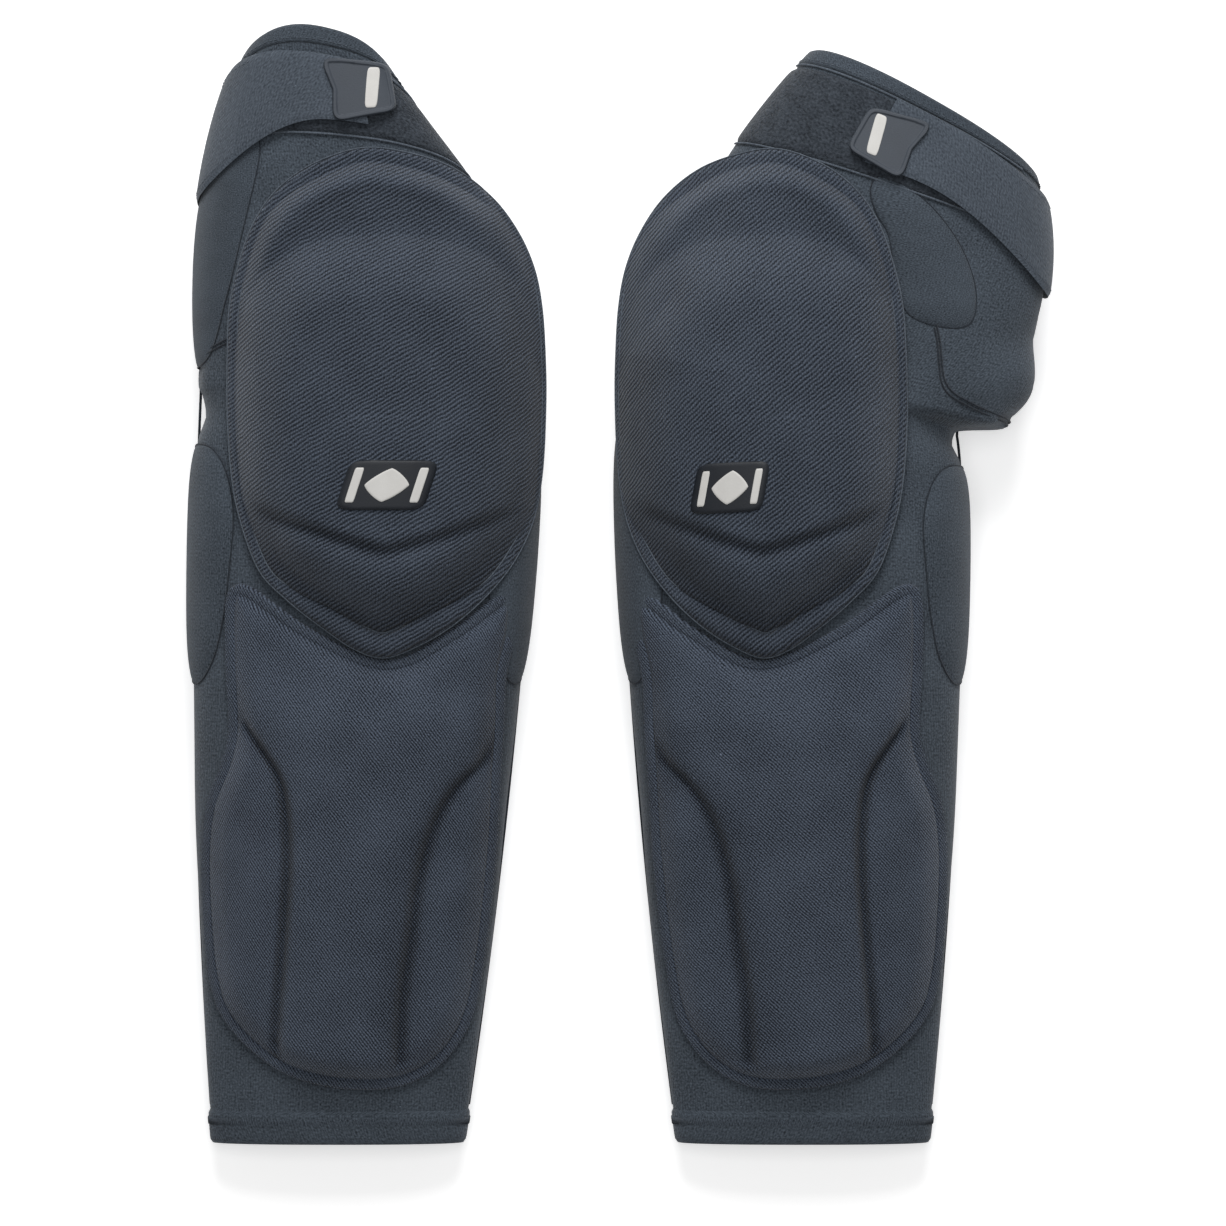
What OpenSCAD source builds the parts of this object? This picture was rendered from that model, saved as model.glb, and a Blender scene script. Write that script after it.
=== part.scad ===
// A pair of soft knee and shin guards, lying on their backs with the knee cups up.
// Each guard is a sewn neoprene sleeve with a moulded shin pad, a moulded knee cup,
// side bolsters and a hook-and-loop strap round the thigh cuff.
// Millimetres. +X runs across the pair, +Y from hem to cuff, +Z up out of the cups.
// Each guard is drawn in its own frame, with its cup's centre at the origin and +X
// towards the outer side of the leg; the left one is then mirrored.

/* [Pair] */
// Distance between the centres of the two knee cups
cup_spacing = 148; // [146:1:200]

/* [Sleeve] */
// Width of the flattened sleeve at the hem
hem_w = 101; // [95:1:108]
// Distance from the hem up to the cup's centre
hem_drop = 296; // [290:1:300]
// Height of the tube at the hem
hem_h = 24; // [24:1:28]
// Height of the tube at the knee
knee_h = 60; // [56:1:62]
// Thickness of the sleeve's neoprene
wall = 3; // [2:0.5:3]

/* [Knee cup] */
// Width of the cup
cup_w = 118; // [112:1:118]
// Length of the cup
cup_len = 200; // [196:1:202]
// Rise of the cup above its flange
cup_rise = 22; // [18:1:26]

/* [Shin pad] */
// Thickness of the moulded shin foam at its crown
shin_foam_t = 7; // [5:0.5:9]

/* [Strap] */
// Thickness of the elastic strap
strap_t = 1.6; // [1.2:0.2:1.6]

/* [Hidden] */
// Fullness of the sleeve's section: 1 is an ellipse, less is squarer
top_fullness = 0.85;
floor_fullness = 0.7;
// The shin sleeve stands on its hem, and the cuff on its strap
hem_turn_t = 1;
shin_lift = hem_turn_t;
cuff_lift = strap_t + 0.4;
// Gap between layers that are glued or sewn face to face
glue_gap = 0.2;
// Gap between the sleeve and what is sewn on its outside
sew_gap = 1.2;
// Gap between the sleeve and the cup's flange and foam
cup_gap = 3;
// Height of the knee hinge line, and how far the back is cut away beneath it
hinge_z = 50;
back_cut = 31;
hinge_gap = 0.6;
band_end = 0.955;
hem_top = 0.045;

// Settings of each guard
//  0 hinge centre  1 hinge half width  2 hinge lean
//  3 cuff centre   4 sideways bow      5 flare of the thigh's outer side
//  6 taper         7 taper power       8 extra lean at the cuff
//  9 arch of the cuff's rim           10 cuff height       11 cup width factor
// 12 sideways place of the hem
left = [[8, 5], 68, 0, [28, 124], 1.9, 0, 35.5, 2.6, -14, 24, 62, 1, 21.5];
right = [[12, 5], 69, 13, [58, 120], 1, 17, 26, 2.2, 16.5, 5, 54, 0.93, 18];

// Where the strap's edges run, as shares of the thigh's length: [low, high]
function strap_front(p) = p == left ? [0.77, 0.93] : [0.74, 0.95];
function strap_side(p) = p == left ? [0.60, 0.94] : [0.52, 0.91];
// The quilted thigh pad: [first share, last share, first angle, last angle]
function side_pad_span(p) = p == left ? [0.12, 0.56, 4, 42] : [0.22, 0.62, 30, 52];

// The pull tab: [across, along, turn] of its middle, its length and its two widths
function tab_place(p) = p == left ? [10.6, 123.4, -4] : [50, 103.5, -23];
tab_len = 23;
tab_root_w = 26;
tab_tip_w = 19;

strap_hinge_deg = 46;
strap_split = 1.2;
strap_end_deg = 100;
strap_anchor_deg = -150;

// ---- small helpers ----
function mix(a, b, t) = a + (b - a) * t;
function clamp(x, a, b) = max(a, min(b, x));
function ease(x) = let (t = clamp(x, 0, 1)) t * t * (3 - 2 * t);
function spow(x, k) = sign(x) * pow(abs(x), k);
function steps(a, b, n) = [for (i = [0:n]) mix(a, b, i / n)];

// ---- the sleeve's sections ----
// A station is [centre, half width, height, lean, arch, lift]
function shin_station(p, f) = [
    [mix(p[12], p[0][0], f), mix(-hem_drop, p[0][1], f)],
    mix(hem_w / 2, p[1], 1 - pow(1 - f, 1.9)),
    mix(hem_h, knee_h, 1 - pow(1 - f, 1.9)),
    p[2] * pow(f, 8), 0, shin_lift];

function thigh_station(p, g) =
    let (lean = p[2] + p[8] * pow(g, 3),
         flare = p[5] / 2 * ease(g / 0.35))
    [[mix(p[0][0], p[3][0], pow(g, p[4])) + flare * cos(lean),
      mix(p[0][1], p[3][1], g) - flare * sin(lean)],
     p[1] + flare - p[6] * pow(g, p[7]),
     mix(knee_h, p[10], g), lean, p[9] * g * g,
     mix(shin_lift, cuff_lift, ease(g / 0.3))];

// s runs from 0 at the hem through 1 at the knee hinge to 2 at the cuff
function station(p, s) = s < 1 ? shin_station(p, s) : thigh_station(p, s - 1);

// A point round a section: 0 is the outer edge, 90 the front, 180 the inner edge
function skin(p, s, th, off) =
    let (st = station(p, s), slip = cut_share(s),
         k = sin(th) < 0 ? floor_fullness : top_fullness,
         x = (st[1] + off) * spow(cos(th), k),
         z = st[2] / 2 + st[5] + (st[2] / 2 + off) * spow(sin(th), k),
         y = st[4] * sin(th) + slip * back_slope(z))
    [st[0][0] + x * cos(st[3]) + y * sin(st[3]),
     st[0][1] - x * sin(st[3]) + y * cos(st[3]), z];

// Sections near the hinge line draw back towards their own side of the knee
function cut_share(s) = s <= 1 ? -max(0, 1 - (1 - s) / 0.2) : max(0, 1 - (s - 1) / 0.45);

// How far the sleeve's edge draws back from the hinge line, by height
function back_slope(z) = hinge_gap + back_cut * clamp(1 - z / hinge_z, 0, 1);

// The share s at which the sleeve's front passes under the plan point [u, v]
function local_x(st, u, v) = (u - st[0][0]) * cos(st[3]) - (v - st[0][1]) * sin(st[3]);
function front_angle(st, x) =
    let (c = clamp(x / st[1], -0.995, 0.995)) acos(spow(c, 1 / top_fullness));
function ahead(p, s, u, v) =
    let (st = station(p, s))
    (v - st[0][1]) * cos(st[3]) + (u - st[0][0]) * sin(st[3])
        - st[4] * sin(front_angle(st, local_x(st, u, v)));
function share_at(p, u, v, lo = 0, hi = 2, n = 14) =
    n == 0 ? (lo + hi) / 2
    : let (m = (lo + hi) / 2)
      ahead(p, m, u, v) > 0 ? share_at(p, u, v, m, hi, n - 1) : share_at(p, u, v, lo, m, n - 1);
function on_front(p, u, v, off) =
    let (s = share_at(p, u, v), st = station(p, s))
    skin(p, s, front_angle(st, local_x(st, u, v)), off);

// ---- solids from grids of points ----
// Loft through sections that are closed loops of the same number of points
module loft(rows) {
    n = len(rows[0]);
    m = len(rows);
    points = [for (row = rows) for (q = row) q];
    sides = [for (j = [0:m - 2]) for (i = [0:n - 1])
        let (a = j * n + i, b = j * n + (i + 1) % n)
        each [[a, b, b + n], [a, b + n, a + n]]];
    // the two ends are strips between the loop's first and second halves
    half = n / 2;
    first = [for (i = [0:half - 2])
        let (a = i, b = i + 1, c = n - 2 - i, d = n - 1 - i)
        each [[a, d, c], [a, c, b]]];
    last = [for (i = [0:half - 2])
        let (o = (m - 1) * n, a = o + i, b = o + i + 1, c = o + n - 2 - i, d = o + n - 1 - i)
        each [[a, b, c], [a, c, d]]];
    polyhedron(points, concat(sides, first, last), convexity = 6);
}

// A ring whose closed sections follow each other round a closed path
module ring(rows) {
    n = len(rows[0]);
    m = len(rows);
    points = [for (row = rows) for (q = row) q];
    polyhedron(points, [for (j = [0:m - 1]) for (i = [0:n - 1])
        let (a = j * n + i, b = j * n + (i + 1) % n,
             c = ((j + 1) % m) * n + i, d = ((j + 1) % m) * n + (i + 1) % n)
        each [[a, b, d], [a, d, c]]], convexity = 6);
}

// A dished layer over a rim: tops and floors are [middle point, ring, ring, ... rim]
module dish(tops, floors) {
    n = len(tops[1]);
    m = len(tops) - 1;
    shift = 1 + m * n;
    points = concat([tops[0]], [for (j = [1:m]) for (q = tops[j]) q],
                    [floors[0]], [for (j = [1:m]) for (q = floors[j]) q]);
    cap = [for (i = [0:n - 1]) [0, 1 + (i + 1) % n, 1 + i]];
    skin_faces = [for (j = [0:m - 2]) for (i = [0:n - 1])
        let (a = 1 + j * n + i, b = 1 + j * n + (i + 1) % n)
        each [[a, b, b + n], [a, b + n, a + n]]];
    under = [for (f = concat(cap, skin_faces)) [f[0] + shift, f[2] + shift, f[1] + shift]];
    wall_faces = [for (i = [0:n - 1])
        let (a = 1 + (m - 1) * n + i, b = 1 + (m - 1) * n + (i + 1) % n)
        each [[a, b, b + shift], [a, b + shift, a + shift]]];
    polyhedron(points, concat(cap, skin_faces, under, wall_faces), convexity = 6);
}

// ---- pieces that follow the sleeve ----
// Panel between two angles, along shares ss, from offset lo to hi
module panel(p, ss, th0, th1, n, lo, hi) {
    ths = steps(th0, th1, n);
    loft([for (s = ss) concat(
        [for (th = ths) skin(p, s, th, hi)],
        [for (i = [n:-1:0]) skin(p, s, ths[i], lo)])]);
}

// Closed band round the sleeve between two shares
module band(p, s0, s1, lo, hi) {
    ring([for (th = [360:-10:10]) [
        skin(p, s0, th, lo), skin(p, s0, th, hi), skin(p, s1, th, hi), skin(p, s1, th, lo)]]);
}

// Pillow between two shares and two angles, round in plan, with a crown of height t
module pillow(p, span, lo, t) {
    s_mid = (span[0] + span[1]) / 2;
    a_mid = (span[2] + span[3]) / 2;
    spot = function (r, a, off)
        skin(p, s_mid + (span[1] - span[0]) / 2 * r * spow(sin(a), 0.6),
             a_mid + (span[3] - span[2]) / 2 * r * spow(cos(a), 0.6), off);
    rings = [0.35, 0.65, 0.85, 1];
    angles = [for (a = [0:20:340]) -a];
    crown = function (r) lo + t * pow(1 - pow(r, 3), 0.6) + 0.8;
    dish(concat([spot(0, 0, crown(0))],
                [for (r = rings) [for (a = angles) spot(r, a, crown(r))]]),
         concat([spot(0, 0, lo)],
                [for (r = rings) [for (a = angles) spot(r, a, lo)]]));
}

// Layer over a closed plan outline: rs are the ring scales, lo and hi functions of them
module overlay(p, outline, centre, rs, lo, hi) {
    spot = function (q, r, off)
        on_front(p, centre[0] + (q[0] - centre[0]) * r, centre[1] + (q[1] - centre[1]) * r, off);
    dish(concat([spot(centre, 0, hi(0))], [for (r = rs) [for (q = outline) spot(q, r, hi(r))]]),
         concat([spot(centre, 0, lo(0))], [for (r = rs) [for (q = outline) spot(q, r, lo(r))]]));
}

// Frame round a closed plan outline, between two ring scales
module surround(p, outline, centre, r0, r1, lo, hi) {
    spot = function (q, r, off)
        on_front(p, centre[0] + (q[0] - centre[0]) * r, centre[1] + (q[1] - centre[1]) * r, off);
    ring([for (q = outline) [spot(q, r0, lo), spot(q, r1, lo), spot(q, r1, hi), spot(q, r0, hi)]]);
}

// ---- shin ----
shin_shares = [hem_top + 0.002, 0.15, 0.3, 0.45, 0.6, 0.75, 0.88, 1];

module shin_front_panel(p) {
    color("#2c3138") panel(p, shin_shares, 1, 179, 22, -wall, 0);
}

module shin_back_panel(p) {
    color("#282d34") panel(p, shin_shares, 181, 359, 16, -wall, 0);
}

module hem_band(p) {
    color("#262b32") band(p, 0, hem_top, -wall, hem_turn_t);
}

module hem_gripper(p) {
    color("#15171a") band(p, 0.008, hem_top - 0.006, -wall - 1.1, -wall - 2 * glue_gap);
}

// Outline of the shin pad: V top under the cup, wings, waist, and a round-cornered foot
shin_outline = [
    [0, -105], [-25, -93], [-44, -76], [-50, -79], [-50, -90], [-46, -108], [-45, -128],
    [-43.5, -150], [-42, -175], [-39.5, -200], [-36, -226], [-31, -247], [-20, -263], [-4, -272],
    [18, -273], [39, -268], [54, -258], [66, -244], [71, -228], [73, -205], [73.5, -178],
    [71, -158], [65, -142], [62, -128], [63, -105], [63, -80], [60, -72], [52, -73], [29, -93]];
shin_centre = [13, -178];

module shin_foam(p) {
    top = function (r) sew_gap + 1 + shin_foam_t * pow(1 - pow(r / 0.95, 5), 0.5);
    color("#3a3f46") overlay(p, shin_outline, shin_centre, [0.3, 0.55, 0.75, 0.88, 0.94],
        function (r) sew_gap, top);
}

module shin_cover(p) {
    under = function (r) sew_gap + 1 + shin_foam_t * pow(1 - pow(r / 0.95, 5), 0.5) + glue_gap;
    color("#333a45") overlay(p, shin_outline, shin_centre, [0.3, 0.55, 0.75, 0.88, 0.94],
        under, function (r) under(r) + 1.1);
}

module shin_border(p) {
    color("#2d333d") surround(p, shin_outline, shin_centre, 0.95, 1, sew_gap, sew_gap + 1);
}

// Side bolsters: padded panels on both flanks of the knee
module outer_bolster(p) {
    color("#3d434c") pillow(p, [0.69, 0.905, -22, 30], 1.2, 1.1);
}

module inner_bolster(p) {
    color("#3d434c") pillow(p, [0.69, 0.905, 172, 210], 1.2, 1.1);
}

// Soft mesh behind the knee, which fills the cut-away between the two back panels
module back_mesh(p) {
    drop = [-1, -0.5, 0, 0.5, 1];
    ths = steps(188, 352, 14);
    function spot(th, off, d) = let (q = skin(p, 1, th, off), lean = p[2],
        reach = back_slope(q[2]) + max(0.5, back_slope(q[2]) - 1.5) * d)
        [q[0] + reach * sin(lean), q[1] + reach * cos(lean), q[2]];
    color("#1f2329") loft([for (d = drop) concat(
        [for (th = ths) spot(th, -0.6, d)],
        [for (i = [14:-1:0]) spot(ths[i], -1.8, d)])]);
}

// ---- knee cup ----
cup_up = cup_len / 2 - 1;
cup_down = cup_len / 2 + 1;
cup_roundness = 2.4;
function cup_radius(a, w, l) =
    pow(pow(abs(cos(a)) / w, cup_roundness) + pow(abs(sin(a)) / l, cup_roundness),
        -1 / cup_roundness);
// The lower end is drawn in to a soft point
function cup_outline(p) = [for (i = [0:31])
    let (a = 90 + i * 360 / 32,
         w = p[11] * cup_w / 2 + (cos(a) > 0 ? 1.5 : -1.5),
         r = cup_radius(a, w, sin(a) > 0 ? cup_up : cup_down)
             * (sin(a) < 0 ? 1 - 0.05 * pow(sin(2 * a), 2) : 1))
    [r * cos(a), r * sin(a)]];
cup_rings = [0.2, 0.4, 0.6, 0.75, 0.87, 0.94];
cup_skin_t = 1;
cup_shell_t = 2;
function cup_height(r) = cup_gap + 3 + cup_rise * pow(max(0, 1 - pow(r, 2.6)), 0.75);

module cup_layer(p, lo, hi) {
    overlay(p, cup_outline(p), [0, 0], cup_rings, lo, hi);
}

module cup_cover(p) {
    color("#303743") cup_layer(p, function (r) cup_height(r) - cup_skin_t, function (r) cup_height(r));
}

module cup_shell(p) {
    top = cup_skin_t + glue_gap;
    color("#17191c") cup_layer(p, function (r) cup_height(r) - top - cup_shell_t,
        function (r) cup_height(r) - top);
}

module cup_foam(p) {
    top = cup_skin_t + cup_shell_t + 2 * glue_gap;
    color("#4b5058") cup_layer(p, function (r) cup_gap, function (r) cup_height(r) - top);
}

module cup_flange(p) {
    color("#2b313b") surround(p, cup_outline(p), [0, 0], 0.95, 1, cup_gap, cup_gap + 1.6);
}

// ---- badge: a plain rounded plate with a lozenge between two bars ----
badge_at = [-4, -35];
badge_w = 40;
badge_h = 18;
badge_z = function (p) on_front(p, badge_at[0], badge_at[1],
    cup_height(norm(badge_at) / cup_len * 2))[2];

module rounded_plate(w, h, r, t) {
    linear_extrude(t) hull() for (x = [-1, 1]) for (y = [-1, 1])
        translate([x * (w / 2 - r), y * (h / 2 - r)]) circle(r, $fn = 32);
}

module badge_place(p, up) {
    translate([badge_at[0], badge_at[1], badge_z(p) + up]) rotate([9, -4, 0]) children();
}

module badge_plate(p) {
    color("#20242a") badge_place(p, 1) rounded_plate(badge_w, badge_h, 5, 1.6);
}

module badge_inlay(p) {
    color("#d9d8d4") badge_place(p, 2.8) linear_extrude(0.6) {
        polygon([[0, 5.5], [7, 0], [0, -5.5], [-7, 0]]);
        for (x = [-13, 13]) translate([x - 2.5, -4]) square([5, 8]);
    }
}

// ---- thigh ----
thigh_shares = [1.0001, 1.1, 1.2, 1.35, 1.5, 1.65, 1.8, 1 + band_end - 0.004];

module thigh_front_panel(p) {
    color("#343a41") panel(p, thigh_shares, 1, 179, 22, -wall, 0);
}

module thigh_back_panel(p) {
    color("#2f353c") panel(p, thigh_shares, 181, 359, 16, -wall, 0);
}

module cuff_band(p) {
    color("#3a4047") band(p, 1 + band_end, 2, -wall, 0.9);
}

module cuff_gripper(p) {
    color("#15171a") band(p, 1 + band_end + 0.006, 1.993, -wall - 1.1, -wall - 2 * glue_gap);
}

module side_pad(p) {
    sp = side_pad_span(p);
    color("#3b4148") pillow(p, [1 + sp[0], 1 + sp[1], sp[2], sp[3]], 0.6, 1.2);
}

// Loop panel that the strap's hooks grip
module loop_field(p) {
    ends = strap_front(p);
    color("#24292f") panel(p, steps(1 + ends[0] - 0.03, 1 + ends[1] - 0.01, 3), 60, 172, 16, 0.5, 1.4);
}

// ---- strap ----
function strap_edge(p, th) =
    let (front = strap_front(p), side = strap_side(p),
         to_side = ease((90 - th) / 80), under = ease(-th / 60),
         back = [0.62, 0.90])
    [mix(mix(front[0], side[0], to_side), back[0], under),
     mix(mix(front[1], side[1], to_side), back[1], under)];
function strap_rise(th) = mix(0.4, 2.8, ease((th + 20) / 50));
strap_spot = function (p, th, share, off)
    let (e = strap_edge(p, th)) skin(p, 1 + mix(e[0], e[1], share), th, off);

module strap_layer(p, ths, shares, lo, hi) {
    n = len(shares) - 1;
    loft([for (th = ths) concat(
        [for (i = [n:-1:0]) strap_spot(p, th, shares[i], strap_rise(th) + hi)],
        [for (w = shares) strap_spot(p, th, w, strap_rise(th) + lo)])]);
}

strap_shares = [0, 0.33, 0.67, 1];

module strap_anchor(p) {
    color("#3f454d") strap_layer(p, steps(strap_anchor_deg, strap_hinge_deg - strap_split, 24),
        strap_shares, 0, strap_t);
}

module strap_bartack(p) {
    color("#4a515a") strap_layer(p, steps(strap_anchor_deg - 6, strap_anchor_deg - 1, 1),
        strap_shares, 0, 1);
}

module strap_end(p) {
    color("#3f454d") strap_layer(p, steps(strap_hinge_deg + strap_split, strap_end_deg, 10),
        strap_shares, 0, strap_t);
}

module hook_patch(p) {
    color("#202429") strap_layer(p, steps(strap_hinge_deg + 22, strap_end_deg - 3, 7),
        [0.1, 0.5, 0.9], -1, -0.1);
}

// Moulded pull tab over the strap's free end: a tapered plate with round corners
function tab_outline(p) = [for (i = [0:23])
    let (a = 15 * i, x = spow(cos(a), 0.4) * tab_len / 2,
         y = spow(sin(a), 0.4) * mix(tab_tip_w, tab_root_w, x / tab_len + 0.5) / 2,
         place = tab_place(p))
    [place[0] + x * cos(place[2]) - y * sin(place[2]),
     place[1] + x * sin(place[2]) + y * cos(place[2])]];
tab_rise = 2.8 + strap_t + 0.1;

module strap_tab(p) {
    place = tab_place(p);
    color("#454b54") overlay(p, tab_outline(p), [place[0], place[1]], [0.5, 0.92, 1],
        function (r) tab_rise, function (r) tab_rise + (r > 0.95 ? 1.4 : 2));
}

module tab_inlay(p) {
    place = tab_place(p);
    bar = [for (q = [[-1, -8], [1, -8], [1, 8], [-1, 8]]) let (x = 1.6 * q[0] + 2, y = q[1])
        [place[0] - x * cos(place[2]) + y * sin(place[2]),
         place[1] - x * sin(place[2]) - y * cos(place[2])]];
    color("#dcdbd7") overlay(p, bar, [place[0] - 2 * cos(place[2]), place[1] - 2 * sin(place[2])],
        [1], function (r) tab_rise + 2.05, function (r) tab_rise + 2.5);
}

// ---- the pair ----
module left_place() {
    translate([-cup_spacing / 2 - pair_shift[0], -pair_shift[1], 0]) mirror([1, 0, 0]) children();
}

module right_place() {
    translate([cup_spacing / 2 - pair_shift[0], -pair_shift[1], 0]) children();
}

// Moves the pair so that the middle of its plan is the origin
pair_shift = [18.8, -73.5];

left_place() shin_front_panel(left);  // left_shin_front_panel
left_place() shin_back_panel(left);  // left_shin_back_panel
left_place() shin_foam(left);  // left_shin_foam
left_place() shin_cover(left);  // left_shin_cover
left_place() shin_border(left);  // left_shin_border
left_place() hem_band(left);  // left_hem_band
left_place() hem_gripper(left);  // left_hem_gripper
left_place() outer_bolster(left);  // left_outer_bolster
left_place() inner_bolster(left);  // left_inner_bolster
left_place() back_mesh(left);  // left_back_mesh
left_place() cup_foam(left);  // left_cup_foam
left_place() cup_shell(left);  // left_cup_shell
left_place() cup_cover(left);  // left_cup_cover
left_place() cup_flange(left);  // left_cup_flange
left_place() badge_plate(left);  // left_badge_plate
left_place() badge_inlay(left);  // left_badge_inlay
left_place() thigh_front_panel(left);  // left_thigh_front_panel
left_place() thigh_back_panel(left);  // left_thigh_back_panel
left_place() side_pad(left);  // left_side_pad
left_place() cuff_band(left);  // left_cuff_band
left_place() cuff_gripper(left);  // left_cuff_gripper
left_place() loop_field(left);  // left_loop_field
left_place() strap_anchor(left);  // left_strap_anchor
left_place() strap_bartack(left);  // left_strap_bartack
left_place() strap_end(left);  // left_strap_end
left_place() hook_patch(left);  // left_hook_patch
left_place() strap_tab(left);  // left_strap_tab
left_place() tab_inlay(left);  // left_tab_inlay

right_place() shin_front_panel(right);  // right_shin_front_panel
right_place() shin_back_panel(right);  // right_shin_back_panel
right_place() shin_foam(right);  // right_shin_foam
right_place() shin_cover(right);  // right_shin_cover
right_place() shin_border(right);  // right_shin_border
right_place() hem_band(right);  // right_hem_band
right_place() hem_gripper(right);  // right_hem_gripper
right_place() outer_bolster(right);  // right_outer_bolster
right_place() inner_bolster(right);  // right_inner_bolster
right_place() back_mesh(right);  // right_back_mesh
right_place() cup_foam(right);  // right_cup_foam
right_place() cup_shell(right);  // right_cup_shell
right_place() cup_cover(right);  // right_cup_cover
right_place() cup_flange(right);  // right_cup_flange
right_place() badge_plate(right);  // right_badge_plate
right_place() badge_inlay(right);  // right_badge_inlay
right_place() thigh_front_panel(right);  // right_thigh_front_panel
right_place() thigh_back_panel(right);  // right_thigh_back_panel
right_place() side_pad(right);  // right_side_pad
right_place() cuff_band(right);  // right_cuff_band
right_place() cuff_gripper(right);  // right_cuff_gripper
right_place() loop_field(right);  // right_loop_field
right_place() strap_anchor(right);  // right_strap_anchor
right_place() strap_bartack(right);  // right_strap_bartack
right_place() strap_end(right);  // right_strap_end
right_place() hook_patch(right);  // right_hook_patch
right_place() strap_tab(right);  // right_strap_tab
right_place() tab_inlay(right);  // right_tab_inlay
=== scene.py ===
"""Looks of a pair of knee and shin guards: knitted sleeves, woven moulded cups and shin pads,
quilted side pads, hook-and-loop thigh straps, rubber tabs and badges."""
import math

import bpy
import numpy as np
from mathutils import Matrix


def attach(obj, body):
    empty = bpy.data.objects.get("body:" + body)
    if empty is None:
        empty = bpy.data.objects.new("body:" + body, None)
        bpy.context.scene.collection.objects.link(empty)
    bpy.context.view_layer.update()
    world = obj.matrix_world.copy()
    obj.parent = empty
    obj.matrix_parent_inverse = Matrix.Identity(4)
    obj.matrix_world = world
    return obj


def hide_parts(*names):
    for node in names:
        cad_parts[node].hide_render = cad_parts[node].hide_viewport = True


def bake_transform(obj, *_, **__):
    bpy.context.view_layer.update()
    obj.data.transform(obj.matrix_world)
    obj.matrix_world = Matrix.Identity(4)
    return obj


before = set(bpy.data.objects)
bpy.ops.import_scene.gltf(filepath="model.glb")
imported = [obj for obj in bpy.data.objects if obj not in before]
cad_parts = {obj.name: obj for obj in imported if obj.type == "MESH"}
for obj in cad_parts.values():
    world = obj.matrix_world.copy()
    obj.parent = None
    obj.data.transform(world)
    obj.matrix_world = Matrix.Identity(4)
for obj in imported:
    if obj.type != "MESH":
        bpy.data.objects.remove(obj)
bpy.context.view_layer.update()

# ---- sizes, in millimetres, as the frame's own design has them ----
MM = 0.001
TOP_FULLNESS = 0.85
FLOOR_FULLNESS = 0.7
HEM_W, HEM_H, HEM_DROP = 101, 24, 296
KNEE_H = 60
WALL = 3
STRAP_T = 1.6
SHIN_LIFT = 1
CUFF_LIFT = STRAP_T + 0.4
HINGE_Z = 50
CUP_SPACING = 148
PAIR_SHIFT = (18.8, -73.5)
CUP_GAP = 3
SEW_GAP = 1.2
BEND_REACH = 52
BAND_W = 13
SHIN_BORDER = 4.6
BORDER_RISE = 1.1
FLANGE_RISE = 1.9
COVER_T = 1.0
SKIN_SCALE = (300, 1.1)  # millimetres, roughly, to one share and to one degree of the sleeve
SHARP_FOLD = math.radians(48)
SETTLE_STEPS = 20


def mix(a, b, t):
    return a + (b - a) * t


def ease(x):
    """A soft step: 0 up to 0, 1 from 1 on."""
    t = np.clip(x, 0, 1)
    return t * t * (3 - 2 * t)


def spow(x, k):
    """A power that keeps the sign."""
    return np.sign(x) * np.abs(x) ** k


def hump(x, width):
    """A bell of height 1 about zero."""
    return np.exp(-((x / width) ** 2))


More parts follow.
